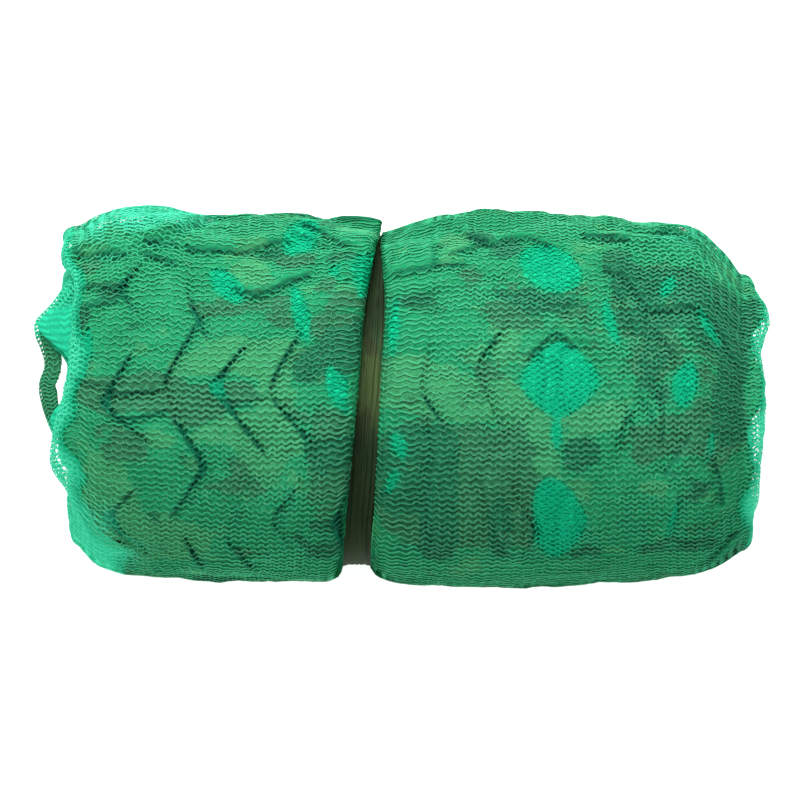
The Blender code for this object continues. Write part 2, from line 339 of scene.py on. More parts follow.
# What is uneven: how much of it, its size along and across the roll, and its seed.
WAVE = 0.0067  # length of a wave of the knit's yarn
Rough = namedtuple("Rough", "amount size_x size_s seed")
SWELL = Rough(0.0011, 0.038, 0.030, 11)
SMALL_SWELL = Rough(0.0006, 0.016, 0.026, 12)
PLEATS = Rough(0.0005, 0.006, 0.030, 13)
WRINKLE_BEND = Rough(0.012, 0.05, 0.04, 14)
LONG_WRINKLES = Rough(0.60, 0.040, 0.017, 15)
SHORT_WRINKLES = Rough(0.30, 0.019, 0.010, 16)
UPRIGHT_WRINKLES = Rough(0.0004, 0.0105, 0.055, 17)
HOLLOW_ROUGH = Rough(0.45, 0.013, 0.013, 18)
NET_WRINKLES = Rough(0.0007, 0.008, 0.06, 19)
KNIT_ROUND = Rough(0.0025, 1.0, 0.05, 21)
ROW_WANDER = Rough(0.0013, 0.034, 0.016, 31)
ROW_TREMBLE = Rough(0.0009, 0.017, 0.0048, 32)
WAVE_DRIFT = Rough(WAVE * 0.30, 0.070, 0.014, 33)
WAVE_ROUGH = Rough(0.30, 0.05, 0.03, 35)
YARN_ROUGH = Rough(0.15, 0.045, 0.030, 37)
MESH_ROUGH = Rough(0.32, 0.030, 0.022, 39)
CLOTH_ROUND = Rough(0.0015, 1.0, 0.03, 41)
CLOTH_EDGE = Rough(0.0025, 1.0, 0.022, 42)
CLOTH_FINE_EDGE = Rough(0.0012, 1.0, 0.007, 45)
NET_ROUND = Rough(0.0015, 1.0, 0.02, 44)
PLY_EDGE = Rough(0.0040, 0.045, 1.0, 51)
TIE_ROUGH = Rough(0.00025, 0.03, 0.020, 61)
LOOP_FRAY = Rough(2.6 * MM, 0.09, 1.0, 76)
LOOP_TONE = Rough(0.5, 0.03, 0.022, 76)
NOISE_CELLS = 61
NOISE_START = 300.5  # cells from the corner of the random table to the roll's middle


def noise(x, s, rough):
    """Smooth noise with humps of about the kind's sizes, up to its amount either way."""
    cells = np.random.RandomState(rough.seed).uniform(-1, 1, (NOISE_CELLS, NOISE_CELLS))
    u, v = np.asarray(x) / rough.size_x + NOISE_START, np.asarray(s) / rough.size_s + NOISE_START
    i, j = np.floor(u).astype(int), np.floor(v).astype(int)
    fu, fv = smooth_step(u - i), smooth_step(v - j)
    i, j, i1, j1 = (cell % NOISE_CELLS for cell in (i, j, i + 1, j + 1))
    low = cells[i, j] * (1 - fu) + cells[i1, j] * fu
    high = cells[i, j1] * (1 - fu) + cells[i1, j1] * fu
    return rough.amount * (low * (1 - fv) + high * fv)


def end_noise(side, s, rough):
    """Noise along the strip, at one end of the roll."""
    return noise(np.zeros_like(s) + side, s, rough)


def ridged(x, s, rough):
    """Noise with sharp crests at 0, and below 0 elsewhere."""
    return rough.amount * (-2.6 * np.abs(noise(x, s, rough._replace(amount=1))))


# ------------ the cloth's cuts

# The printed cloth is cut all over, in rows. Where it lies slack a cut is a thin "<", open at
# its bend. Where it is pulled across, the cut stands open as a lens. Places and sizes in mm,
# as seen; up and down are how far each tip is from the bend, across and up.
CUTS = table("x y up down up_open bend down_open",
    (-210, -4, (22, 36), (36, -30), 2.6, 7.4, 1.0),
    (-166, 11, (29, 50), (6, -18), 1.8, 1.0, 0.3),
    (-132, 9, (24, 29), (38, -49), 2.2, 10.5, 2.8),
    (-94, 4, (22, 40), (32, -36), 2.6, 0.3, 2.6),
    (-135, -48, (-24, 35), (-26, -35), 3.0, 5.5, 2.0),
    (-197, 76, (17, 22), (14, -16), 0.8, 7.0, 1.4),
    (-144, 62, (-6, 18), (9, -20), 0.6, 3.5, 1.6),
    (-207, -84, (22, 21), (31, -27), 1.6, 8.4, 1.4),
    (-91, -86, (19, 24), (12, -16), 1.5, 0.5, 0.4),
    (-145, -107, (-6, 9), (7, -10), 0.8, 1.4, 0.8),
    (-112, -108, (-10, 8), (10, -12), 0.7, 0.9, 0.7),
    (-46, -86, (9, 20), (8, -20), 0.8, 5.0, 0.8),
    (12, 6, (8, 30), (18, -23), 0.2, 0.4, 1.5),
    (52, 23, (20, 26), (21, -49), 1.2, 0.4, 0.4),
    (156, -18, (9, 10), (-4, -16), 1.2, 0.6, 0.4),
    (96, -94, (-18, 30), (-12, -18), 0.4, 0.8, 0.7)
)
LENSES = table("x y width up down tip_up tip_down roundness",
    (106, 92, 42, 18, 18, -8, 7, 2.0), (112.5, 12.5, 58, 29, 27, 0, -1, 1.45),
    (110, -23, 9, 10, 14, 0, 0, 1.8), (113, -86, 38, 31, 26, -8, -5, 1.8),
    (200, 10, 20, 18, 18, 3, -2, 1.5), (147, 54, 10, 17, 17, -3, 6, 1.6),
    (188, 80, 11, 8, 9, 2, -4, 1.5), (216, 50, 8, 15, 14, -7, 9, 1.5),
    (218, -33, 5, 10, 12, 1, -2, 1.5), (191, -86, 6, 15, 13, 4, -5, 1.5),
    (0, -34, 13, 11, 10, -3, 2, 1.6), (-5, -58, 9, 9, 10, 3, -3, 1.6),
    (-4, 50, 9, 22, 20, 1, -1, 1.6), (-26, 92, 6, 12, 22, 1, -2, 1.7),
    (-69, 114, 25, 12, 12, 3, -3, 2.4), (-69, 60, 13, 22, 20, -6, 4, 1.7),
    (-121, 81, 21, 12, 13, -6, 7, 2.2), (-43, 91, 17, 6, 6, 3, 5, 1.8),
    (-44, 4, 14, 20, 18, -5, 6, 1.6), (-218, 40, 7, 11, 12, 0, 2, 1.6)
)

SEEN_FROM, SEEN_TO = 0.055, 0.525  # turns between which the places above lie
ROW_SPACING, COLUMN_SPACING = 0.078, 0.043
POINT_SPACING = 0.0014  # along the outline of a cut
SOFT_BEND = 0.12  # how round a cut's bend is
BEND_SHARE = 0.26  # of a cut's line, that its bend opens
TIE_CLEARANCE = 0.030  # between the tie's middle and the cuts either side of it

# The cuts in rows over the rest of the turn; sizes in mm.
FIRST_ROW = 0.035  # s, at the roll's back
ROW_CUTS_FROM, ROW_CUTS_TO = -0.205, 0.22
ROW_CUT_UP, ROW_CUT_DOWN = (20, -30), (22, 28)
ROW_CUT_SIZES = (0.7, 1.15)  # times those, at least and at most
ROW_CUT_BENDS = [1.2, 2.5, 6.0]  # how wide one of them is open at its bend
ROW_CUT_OPEN = 1.0

Slit = namedtuple("Slit", "line widths")  # on the cloth, in metres


def slit_at(x, s, up, down, up_open, bend, down_open):
    """A thin cut from its upper tip round the bend to its lower tip. Openings are in mm."""
    t = np.linspace(-1, 1, 41)
    towards_up = (np.sqrt(t * t + SOFT_BEND**2) - t) / 2
    towards_down = (np.sqrt(t * t + SOFT_BEND**2) + t) / 2
    line = [start + towards_up * a + towards_down * b for start, a, b in zip((x, s), up, down)]
    arms = np.where(t < 0, up_open, down_open)
    width = arms + (bend - arms) * hump(t, BEND_SHARE)
    return Slit(np.stack(line, axis=-1), width * MM * np.sqrt(np.maximum(1 - t**6, 0)))


def seen_offset(row, dx, dy):
    """The step on the cloth, in x and s, from a row's place to another seen from there."""
    start, end = seen_mm(row), place_seen((row.x + dx) * MM, (row.y + dy) * MM)
    return end[0] - start[0], end[1] - start[1]


def all_slits():
    """Every thin cut: those seen from above, and rows of them over the rest of the turn."""
    slits = [
        slit_at(*seen_mm(cut), seen_offset(cut, *cut.up), seen_offset(cut, *cut.down), *cut[4:])
        for cut in CUTS
    ]
    random = np.random.RandomState(5)
    rows = np.arange(length_at(SEEN_TO) + 0.045, OUTER_LENGTH - 0.02, ROW_SPACING)
    columns = np.arange(ROW_CUTS_FROM, ROW_CUTS_TO, COLUMN_SPACING)
    for row, s in enumerate([FIRST_ROW, *rows]):
        for x in columns + row % 2 * COLUMN_SPACING / 2:
            shape = random.uniform(*ROW_CUT_SIZES)
            bend = random.choice(ROW_CUT_BENDS)
            if abs(x - WAIST.x) < TIE_CLEARANCE or s == FIRST_ROW and abs(x) > 0.15:
                continue
            place = x + random.uniform(-4, 4) * MM, s + random.uniform(-6, 6) * MM
            tips = ([size * MM * shape for size in tip] for tip in (ROW_CUT_UP, ROW_CUT_DOWN))
            slits.append(slit_at(*place, *tips, ROW_CUT_OPEN, bend, ROW_CUT_OPEN))
    return slits


def all_holes():
    """The outline of every cut that stands open."""
    holes = []
    for lens in LENSES:
        middle = np.array(seen_mm(lens))
        count = max(16, int((lens.width + lens.up + lens.down) * MM / POINT_SPACING))
        outline = []
        for angle in np.linspace(0, 2 * math.pi, count, endpoint=False):
            c, v = math.cos(angle), math.sin(angle)
            size = (abs(c) ** lens.roundness + abs(v) ** lens.roundness) ** (-1 / lens.roundness)
            c, v = c * size, v * size
            tall, tip = (lens.up, lens.tip_up) if v > 0 else (lens.down, lens.tip_down)
            across = c * lens.width / 2 + abs(v) * tip
            outline.append(middle + seen_offset(lens, across, v * tall))
        holes.append(np.array(outline))
    return holes


# ------------ heights of cloth and knit

GRID_STEP = 0.001
GRID_X = np.arange(-0.275, 0.280, GRID_STEP)
GRID_S = np.arange(-0.016, OUTER_LENGTH + 0.050, GRID_STEP)
grid_x, grid_s = np.meshgrid(GRID_X, GRID_S, indexing="ij")


def sampled(name, x, s):
    """A field's value at places on the cloth, from its grid."""
    field = fields[name]
    u = np.clip((x - GRID_X[0]) / GRID_STEP, 0, len(GRID_X) - 1.001)
    v = np.clip((s - GRID_S[0]) / GRID_STEP, 0, len(GRID_S) - 1.001)
    i, j = u.astype(int), v.astype(int)
    fu, fv = u - i, v - j
    low = field[i, j] * (1 - fu) + field[i + 1, j] * fu
    high = field[i, j + 1] * (1 - fu) + field[i + 1, j + 1] * fu
    return low * (1 - fv) + high * fv


def blurred(field, reach):
    """The field smoothed over a distance, by three passes of a running mean each way."""
    half = max(1, int(round(reach / GRID_STEP / 1.7)))
    count = 2 * half + 1
    for axis in (0, 1) * 3:
        first, last = field.take([0], axis), field.take([-1], axis)
        wide = [np.repeat(first, half + 1, axis), field, np.repeat(last, half, axis)]
        total = np.cumsum(np.concatenate(wide, axis), axis)
        length = total.shape[axis]
        field = total.take(range(count, length), axis) - total.take(range(length - count), axis)
        field = field / count
    return field


def spread(field, reach):
    """The highest value of the field within a distance, each way."""
    cells = int(round(reach / GRID_STEP))
    for axis in (0, 1):
        highest = field.copy()
        for step in range(1, cells + 1):
            for shift in (-step, step):
                highest = np.maximum(highest, np.roll(field, shift, axis))
        field = highest
    return field


def inside(outline, x, s):
    """Which places lie inside a closed outline."""
    result = np.zeros(np.shape(x), bool)
    for (x0, s0), (x1, s1) in zip(outline, np.roll(outline, -1, axis=0)):
        if s0 == s1:
            continue
        crosses = (s0 > s) != (s1 > s)
        result ^= crosses & (x < (x1 - x0) * (s - s0) / (s1 - s0) + x0)
    return result


def window(points, margin):
    """The part of the grids round some places of the cloth."""
    low, high = points.min(axis=0) - margin, points.max(axis=0) + margin
    sides = (np.searchsorted(axis, ends) for axis, ends in zip((GRID_X, GRID_S), zip(low, high)))
    return tuple(slice(*side) for side in sides)


LIP_LIFT, LIP_DROP, LIP_REACH = 0.0016, 0.0022, 0.007  # of a slit's two sides
UNDER_SLIT = 0.0050  # how deep the net lies under a narrow slit
IN_SLIT = 0.0018  # how far it rises into a wide one
NARROW = 0.0086  # about the width at which a slit shows the net
SLIT_FADE = 0.005  # past a slit's tips
UNDER_REACH, IN_REACH = 0.004, 0.007  # of the net's dip and rise, either side of the slit
LINE_LEAST = 0.0018  # the width of the line of painted shade in a narrow slit, at least
LINE_FROM = 0.0014  # the width at which a slit has all of it
OPEN_SOFT, LINE_SOFT = 0.0012, 0.0010


def add_slit_relief(slit, made):
    """One side of a slit lifts, the other dips, and the net under it lies deep; a narrow slit gets a
    line of painted shade.
    """
    line = slit.line
    part = window(line, (0.020, 0.014))
    x, s = grid_x[part], grid_s[part]
    order = np.argsort(line[:, 1])
    across = x - np.interp(s, line[order, 1], line[order, 0])
    wide = np.interp(s, line[order, 1], slit.widths[order])
    beyond = np.maximum(np.maximum(line[:, 1].min() - s, s - line[:, 1].max()), 0)
    fade = hump(beyond, SLIT_FADE)
    lips = LIP_LIFT * np.exp(across / LIP_REACH), -LIP_DROP * np.exp(-across / LIP_REACH)
    made["cloth"][part] += np.where(across < 0, *lips) * fade
    narrow = hump(wide, NARROW, 4)
    made["net"][part] -= UNDER_SLIT * narrow * fade * hump(across, UNDER_REACH)
    made["net"][part] += IN_SLIT * (1 - narrow) * fade * hump(across, IN_REACH)
    off, level = np.abs(across), beyond == 0
    within = (1 - smooth_step((off - wide / 2) / OPEN_SOFT)) * level
    # Painted shade: a dark line along a narrow slit.
    lined = 1 - smooth_step((off - np.maximum(wide, LINE_LEAST) / 2) / LINE_SOFT)
    lined = lined * level * narrow * smooth_step(wide / LINE_FROM)
    made["deep"][part] = np.maximum(made["deep"][part], lined)
    made["slits"][part] = np.maximum(made["slits"][part], (1 - narrow) * within)


# Folds seen from above, along their points, in mm: cloth and knit rise towards a fold by rise,
# over the given reach on its left side as one goes along, and drop steeply on its right,
# where shade is painted along the foot of the drop, as dark as dark says.
CREASES = table("rise reach drop dark points",
    (2.8, 14, 2.2, 0.9, ((-226, 105), (-216, 105), (-204, 106), (-192, 104))),
    (2.4, 8, 2.6, 1.0, ((-178, 105.5), (-171, 102), (-159, 97.5))),
    (1.6, 6, 2.2, 0.9, ((-176, 112), (-167, 111), (-158, 109.5))),
    (3.6, 9, 1.2, 0.5, ((-176, 110), (-165, 116), (-150, 121), (-138, 127))),
    (3.0, 13, 2.4, 1.0, ((-146, 107), (-136, 105), (-122, 106), (-112, 106), (-101, 108), (-92, 111),
     (-80, 112))),
    (2.6, 12, 2.6, 1.0, ((-113, 80), (-105, 76), (-100, 75), (-92, 78.5), (-84, 81.5), (-76, 85),
     (-66, 89))),
    (2.2, 8, 2.4, 1.0, ((-64, 123), (-54, 119), (-38, 111))),
    (1.4, 5, 1.6, 0.7, ((-66, 117), (-56, 113), (-46, 110))),
    (1.8, 8, 2.0, 0.8, ((-220, 82), (-208, 81), (-199, 78))),
    (1.4, 6, 1.8, 0.8, ((-217, 67.5), (-200, 70.5))),
    (1.0, 6, 2.4, 1.0, ((-202, 4), (-186, 6), (-172, 7))),
    (1.2, 6, 2.6, 1.0, ((-198, -13), (-184, -12), (-167, -8.5))),
    (1.0, 6, 1.6, 0.7, ((-228, 16), (-216, 12), (-206, 11))),
    (0.8, 5, 1.4, 0.6, ((-120, -1), (-108, 0), (-96, 2))),
    (1.8, 9, 1.8, 0.8, ((-2, 90), (11, 94), (18, 95.5), (44, 96))),
    (1.2, 6, 1.4, 0.6, ((13, 98), (22, 106), (30, 110))),
    (1.8, 7, 2.2, 0.9, ((37, 103), (44, 105.5), (51, 107.5))),
    (2.2, 8, 2.4, 1.0, ((48, 117), (56, 113), (66, 110))),
    (1.8, 8, 1.8, 0.8, ((74, 114), (91, 115), (103, 110))),
    (2.2, 9, 2.4, 1.0, ((131, 117), (144, 116), (158, 113.5))),
    (1.4, 7, 2.6, 1.0, ((91, 32), (101, 42), (109, 47.5), (116, 45), (122, 39))),
    (2.0, 8, 1.8, 0.8, ((180, 119), (192, 119), (206, 112), (217, 101))),
    (2.0, 10, 2.0, 0.7, ((146, 92), (158, 88), (168, 76), (176, 66), (190, 65), (203, 66))),
    (1.4, 9, 1.4, 0.4, ((148, 83), (158, 72), (164, 60), (166, 48))),
    (1.4, 8, 1.6, 0.8, ((185, 2), (187, -12), (186, -30))),
    (1.6, 9, 1.6, 0.8, ((204, -28), (196, -42), (188, -53))),
    (1.6, 9, 2.0, 0.9, ((222, -44), (226, -56), (228, -72))),
    (1.8, 10, 2.0, 0.9, ((236, -94), (227, -104), (218, -113))),
    (1.8, 7, 1.2, 0.2, ((184, -104), (188, -92), (194, -70))),
    (1.0, 6, 1.2, 0.5, ((160, -4), (163, -12), (166, -22))),
    (1.0, 6, 1.2, 0.5, ((170, 2), (176, -6), (180, -16))),
    (1.6, 9, 1.6, 0.6, ((211, 62), (222, 54), (230, 40), (236, 26))),
    (1.0, 6, 1.4, 0.6, ((182, 48), (188, 42), (192, 32))),
    (0.8, 5, 1.2, 0.6, ((194, 35), (196, 30), (195, 22))),
    (1.2, 10, 1.2, 0.3, ((22, -14), (26, -40), (22, -72), (26, -104))),
    (1.2, 9, 1.2, 0.3, ((60, -60), (66, -84), (76, -108))),
    (1.2, 9, 1.2, 0.2, ((120, 64), (126, 48), (140, 30))),
    (1.2, 5, 1.2, 0.3, ((102, 34), (105, 14), (103, -8))),
    (1.0, 5, 1.0, 0.2, ((118, 32), (116, 14), (119, -6)))
)
CREASE_DROP_OVER = 0.0035  # how far from the fold the drop ends
CREASE_FADE = 0.006  # past the fold's ends, and beyond the drop
SHADE_AT, SHADE_OVER = 0.0020, 0.0013  # of the line of painted shade at the foot of the drop


def nearest_on_line(points, x, s):
    """How far places lie from a line, to its left if positive, and how far past its ends."""
    best, side, past = np.full(x.shape, 1.0), np.zeros(x.shape), np.zeros(x.shape)
    for k, (start, end) in enumerate(zip(points, points[1:])):
        along = end - start
        length = np.linalg.norm(along)
        dx, ds = x - start[0], s - start[1]
        t = (dx * along[0] + ds * along[1]) / length**2
        held = np.clip(t, 0, 1)
        off = np.hypot(dx - held * along[0], ds - held * along[1])
        before = np.maximum(-t, 0) * length * (k == 0)
        after = np.maximum(t - 1, 0) * length * (k == len(points) - 2)
        nearer = off < best
        best = np.where(nearer, off, best)
        side = np.where(nearer, dx * along[1] - ds * along[0], side)
        past = np.where(nearer, np.maximum(before, after), past)
    return np.where(side > 0, best, -best), past


def even_places(points):
    """Distances along a line of points, from its first one."""
    return np.concatenate([[0], np.cumsum(np.linalg.norm(np.diff(points, axis=0), axis=1))])


def add_crease_relief(crease, made):
    corners = np.array([place_seen(x * MM, y * MM) for x, y in crease.points])
    steps = even_places(corners)
    even = np.linspace(0, steps[-1], 4 * len(corners))
    points = smooth_through(np.column_stack([steps, corners]), even)
    reach, rise = crease.reach * MM, crease.rise * MM
    part = window(points, 2.2 * reach + 0.010)
    off, past = nearest_on_line(points, grid_x[part], grid_s[part])
    fade = hump(past, CREASE_FADE)
    step = rise - (crease.rise + crease.drop) * MM * smooth_step(-off / CREASE_DROP_OVER)
    step = step * hump(np.maximum(-off - CREASE_DROP_OVER, 0), CREASE_FADE)
    made["folds"][part] += fade * np.where(off > 0, rise * hump(off, reach), step)
    # Painted shade along the foot of the fold's drop.
    shade = fade * crease.dark * hump(-off - SHADE_AT, SHADE_OVER)
    made["deep"][part] = np.maximum(made["deep"][part], shade)


# Loose netting is crumpled. How high its wrinkles stand at lengths s: at the roll's back, on
# its crown and at its front.
WRINKLES = ((0.02, 0.0018), (0.10, 0.0026), (0.17, 0.0014), (0.24, 0.0008), (0.36, 0.0009),
            (0.42, 0.0014), (0.60, 0.0010), (0.80, 0.0016))


def wrinkles():
    height = smooth_through(WRINKLES, grid_s)[..., 0]
    bend = noise(grid_x, grid_s, WRINKLE_BEND)
    long = ridged(grid_x, grid_s + bend, LONG_WRINKLES)
    short = ridged(grid_x + bend, grid_s + 0.3 * grid_x, SHORT_WRINKLES)
    upright = ridged(grid_x + 0.15 * grid_s, grid_s, UPRIGHT_WRINKLES)
    return height * (long + short + 0.25) + upright


# Where the body under the knit lies well inside the fold of the knit; a glow is painted there,
# for light that would show through it.
HOLLOWS = table("x angle reach_x reach_angle size",
    (-0.192, 17, 0.036, 22, 0.0125),
    (-0.150, 8, 0.020, 16, 0.008),
    (0.205, 22, 0.030, 18, 0.005),
    (-0.224, 152, 0.024, 14, 0.006),
    (-0.214, 132, 0.018, 13, 0.0042),
    (-0.192, 149, 0.028, 11, 0.0044)
)

# How loosely the netting stands off the roll at lengths s, from its back to its front.
LOOSE = ((0.00, 0.0010), (0.06, 0.0010), (0.12, 0.0), (0.26, 0.0), (0.31, 0.0018), (0.37, 0.0018),
         (0.43, 0.0))
NET_LEVEL = -0.0034
CLOTH_LEVEL = -0.0012
KNIT_GAP = 0.0006
NET_UNDER = 0.0013  # of the net under the cloth, at least, away from the holes
NET_BULGE = 0.0027  # of the net, out of the holes
BULGE_SPREAD, BULGE_SOFT = 0.0010, 0.0014
RIM_LIFT, RIM_REACH = 0.0003, 0.004  # of the cloth round the holes
HOLE_SOFT = 0.001
KNIT_SPREAD, KNIT_SMOOTH = 0.001, 0.0030  # of what the knit rests on
FOLD_SMOOTH = 0.0035  # of the folds, as the knit follows them


def make_fields():
    """Heights of the inner net, the printed cloth and the knit over the strip's face, and
    shares from 0 to 1: where the cloth is open, and where shade is painted, in narrow slits and at the
    foot of folds."""
    hollow = humps(HOLLOWS, grid_x, angle_at(turn_at(grid_s)))
    hollow = hollow * (1 + noise(grid_x, grid_s, HOLLOW_ROUGH))
    swell = noise(grid_x, grid_s, SWELL) + noise(grid_x + 0.3 * grid_s, grid_s, SMALL_SWELL)
    made = {name: np.zeros(grid_x.shape) for name in ("deep", "slits", "holes")}
    made["hollow"] = hollow
    made["folds"] = wrinkles() + smooth_through(LOOSE, grid_s)[..., 0] * lobe_share(grid_x)
    made["cloth"] = CLOTH_LEVEL + swell + noise(grid_x + 0.5 * grid_s, grid_s, PLEATS) - hollow
    made["net"] = NET_LEVEL + swell * 0.7 - hollow + ridged(grid_x, grid_s, NET_WRINKLES)
    for slit in slits:
        add_slit_relief(slit, made)
    for crease in CREASES:
        add_crease_relief(crease, made)
    holed, cloth, net, folds = made["holes"], made["cloth"], made["net"], made["folds"]
    for hole in holes:
        part = window(hole, 0.01)
        holed[part] = np.maximum(holed[part], inside(hole, grid_x[part], grid_s[part]))
    bulge = blurred(spread(holed, BULGE_SPREAD), BULGE_SOFT)
    net += NET_BULGE * bulge
    cloth += RIM_LIFT * np.clip(blurred(holed, RIM_REACH) * (1 - holed) * 4, 0, 1)
    net = np.minimum(net, cloth - NET_UNDER * (1 - bulge))
    carried = np.maximum(cloth * (1 - holed) + net * holed, net)
    knit = blurred(spread(carried + hollow, KNIT_SPREAD), KNIT_SMOOTH) + KNIT_GAP
    knit = knit + blurred(folds, FOLD_SMOOTH)
    made.update(net=net + folds, cloth=cloth + folds, knit=knit, holes=blurred(holed, HOLE_SOFT))
    made["opened"] = np.maximum(made["holes"], made["slits"])
    return made


# ------------ making pieces


def add_object(name, data, place=(0, 0, 0)):
    made = bpy.data.objects.new(name, data)
    made.location = place
    bpy.context.scene.collection.objects.link(made)
    return made


def new_piece(name, points, faces, material, uv=None, values=None, smooth=True):
    """A mesh piece from arrays of points and of equal-sized faces."""
    points, faces = np.asarray(points, np.float32).reshape(-1, 3), np.asarray(faces, np.int32)
    used = np.unique(faces)
    renumber = np.zeros(len(points), np.int32)
    renumber[used] = np.arange(len(used))
    faces = renumber[faces]
    mesh = bpy.data.meshes.new(name)
    mesh.from_pydata(points[used], [], faces, shade_flat=not smooth)
    if uv is not None:
        at_points = np.stack(uv, axis=-1).reshape(-1, 2).astype(np.float32)[used]
        layer = mesh.uv_layers.new(name="cloth")
        layer.uv.foreach_set("vector", at_points[faces.ravel()].ravel())
    for key, value in (values or {}).items():
        attribute = mesh.attributes.new(key, "FLOAT", "POINT")
        attribute.data.foreach_set("value", np.asarray(value, np.float32).ravel()[used])
    mesh.materials.append(material)
    piece = add_object(name, mesh)
    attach(piece, "root")
    return piece


def grid_faces(rows, columns):
    """Quads of a grid whose points are numbered row by row."""
    i, j = np.meshgrid(np.arange(rows - 1), np.arange(columns - 1), indexing="ij")
    first = (i * columns + j).ravel()
    return np.stack([first, first + columns, first + columns + 1, first + 1], axis=1)


def unit(vectors):
    return vectors / np.maximum(np.linalg.norm(vectors, axis=-1, keepdims=True), 1e-9)


TUBE_SIDES = 3


def tubes(paths, ups, half_width, half_height, shown):
    """Points and quads of thin tubes along paths, given as (path, point, xyz).

    shown says, for each length between two points, whether it is made."""
    along = np.gradient(paths, axis=1)
    across = unit(np.cross(along, ups))
    over = unit(np.cross(across, along))
    rings = []
    for k in range(TUBE_SIDES):
        angle = math.pi / 6 + 2 * math.pi * k / TUBE_SIDES
        sideways = across * (math.cos(angle) * half_width)
        rings.append(paths + sideways + over * (math.sin(angle) * half_height))
    index = np.arange(paths[..., 0].size * TUBE_SIDES).reshape(paths.shape[:2] + (TUBE_SIDES,))
    here, there = index[:, :-1], index[:, 1:]
    quads = [here, there, np.roll(there, -1, axis=2), np.roll(here, -1, axis=2)]
    return np.stack(rings, axis=2).reshape(-1, 3), np.stack(quads, axis=-1)[shown].reshape(-1, 4)


def joined(first, second):
    """Two lots of (points, faces) as one."""
    faces = np.concatenate([first[1], second[1] + len(first[0])])
    return np.concatenate([first[0], second[0]]), faces


def on_tubes(*shares):
    """Values at the points of paths, as values at the points of their tubes."""
    return np.concatenate([np.repeat(share.ravel(), TUBE_SIDES) for share in shares])


# ------------ layers and their folded ends

# How much further in than usual the edges of the cloth, and of the net on its other side,
# lie round some places as seen, in mm.
RECESSES = table("side up reach depth",
    (1, 60, 20, 7), (1, -28, 28, 8), (1, -82, 20, 10), (-1, 28, 20, 8), (-1, -12, 12, 8),
    (-1, -50, 16, 15), (-1, -104, 56, 40), (-1, -96, 22, 15)
)
NET_RECESSES = table("side up reach depth",
    (1, 58, 16, 5), (1, -28, 26, 8), (-1, -60, 14, 6)
)

# A layer's fold at the roll's ends: its radius, how uneven that is, how much smaller it is at
# the strip's free end, how far short of the strip's left and right ends it lies, how uneven
# that is, where it lies further in, how many degrees round it may go, and how many radii
# along it the layer's own edge is.
LAYER_COLUMNS = "radius rough taper short edges recesses most edge_at"
KNIT, CLOTH, NET = table(LAYER_COLUMNS,
    (0.0085, KNIT_ROUND, 0.55, (0.0, 0.0), (), (), 170, None),
    (0.0055, CLOTH_ROUND, 0.0, (0.006, 0.002), (CLOTH_EDGE, CLOTH_FINE_EDGE), RECESSES, 110, 1.7),
    (0.0075, NET_ROUND, 0.0, (0.0012, 0.0012), (), NET_RECESSES, 110, 1.9)
)
END_SEEN = 0.225  # across, where the ends' places up are looked for


def fold_radius(layer, side, s):
    taper = layer.taper * (1 - smooth_step(turn_at(s) / FREE_END_TAPER))
    return (layer.radius + end_noise(side, s, layer.rough)) * (1 - taper)


def recess_of(layer, side, s):
    """How far short of the strip's edge the layer's fold lies."""
    uneven = sum(end_noise(side, s, rough) for rough in layer.edges)
    recess = np.maximum(layer.short[side > 0] + uneven, 0.0)
    for place in layer.recesses:
        if place.side == side:
            middle = place_seen(side * END_SEEN, place.up * MM)[1]
            recess = recess + place.depth * MM * hump(s - middle, place.reach * MM)
    return recess


def on_layer(layer, q, s, height):
    """Points of a layer that lies across the roll and goes round its folded ends.

    q is x on the roll, and goes on past the ends as length along the cloth."""
    q, s, height = np.broadcast_arrays(q, s, height)
    turn = turn_at(s)
    x, level = q.copy(), height.copy()
    for side in BOTH:
        radius = fold_radius(layer, side, s)
        start = end_apex(side, turn) - side * (radius + recess_of(layer, side, s))
        past = np.maximum((q - start) * side, 0.0)
        angle = np.minimum(past / radius, math.radians(layer.most))
        x = np.where(past > 0, start + side * (radius + height) * np.sin(angle), x)
        level = np.where(past > 0, (radius + height) * np.cos(angle) - radius, level)
    return on_roll(x, turn, level - np.maximum(-s, 0.0))


def layer_ends(layer, s):
    """A layer's own edges across the roll, at lengths s."""
    for side in BOTH:
        radius = fold_radius(layer, side, s)
        start = end_apex(side, turn_at(s)) - side * (radius + recess_of(layer, side, s))
        yield start + side * layer.edge_at * radius


# ------------ the outer knit

ROW_PITCH = 0.00454
BACK_GATHER = 0.17  # how much closer the rows lie over the roll's back
GATHER_FROM, GATHER_TO = 0.060, 0.215  # s at the start and end of that
WAVE_HEIGHT = 0.0020
WAVE_SHAPE = ((0.16, 1), (0.34, 1), (0.66, -1), (0.84, -1))  # places along a wave, and heights
POINTS_A_WAVE = len(WAVE_SHAPE)
JITTER_ALONG = 0.00050
JITTER_ACROSS = 0.00034
MESH_USUAL = 0.18
MESH_RAGGED = 1.6  # how much more uneven the open mesh is across the rows
MESH_FLATTER = 0.25  # how much lower its waves are
MESH_THINNER = 0.38  # how much thinner its yarn is
THREAD = 0.00104  # half the width of the yarn that runs along a row
THREAD_UNEVEN = 0.28
THREAD_HEIGHT = 0.00060
WALE_THREAD = 0.00016
PLAIN_FLATTER = 0.50  # how much flatter the yarn lies away from the print's dark blotches
PLAIN_OVER = 0.45  # how far outside a blotch, in the print's own measure
KNIT_FROM, KNIT_TO = -0.300, 0.308
KNIT_PAST = 0.004  # of the rows, before the free end and past the whole turn
FOLD_SHOWN = math.radians(140)
UNDER_TIE = 0.0095  # half the width of the waist's floor where the tie hides the knit
DRAG_RIGHT, DRAG_RIGHT_OVER = 0.0085, 0.026  # of the rows towards the tie, either side of it
DRAG_LEFT, DRAG_LEFT_OVER = -0.0050, 0.050
KNIT_PARTS = 4
LINK_DROP = 0.0006  # of the links under the yarn
LINK_OPENED, LINK_MESH = 0.8, 1.5  # how much thicker they are where the cloth or knit is open

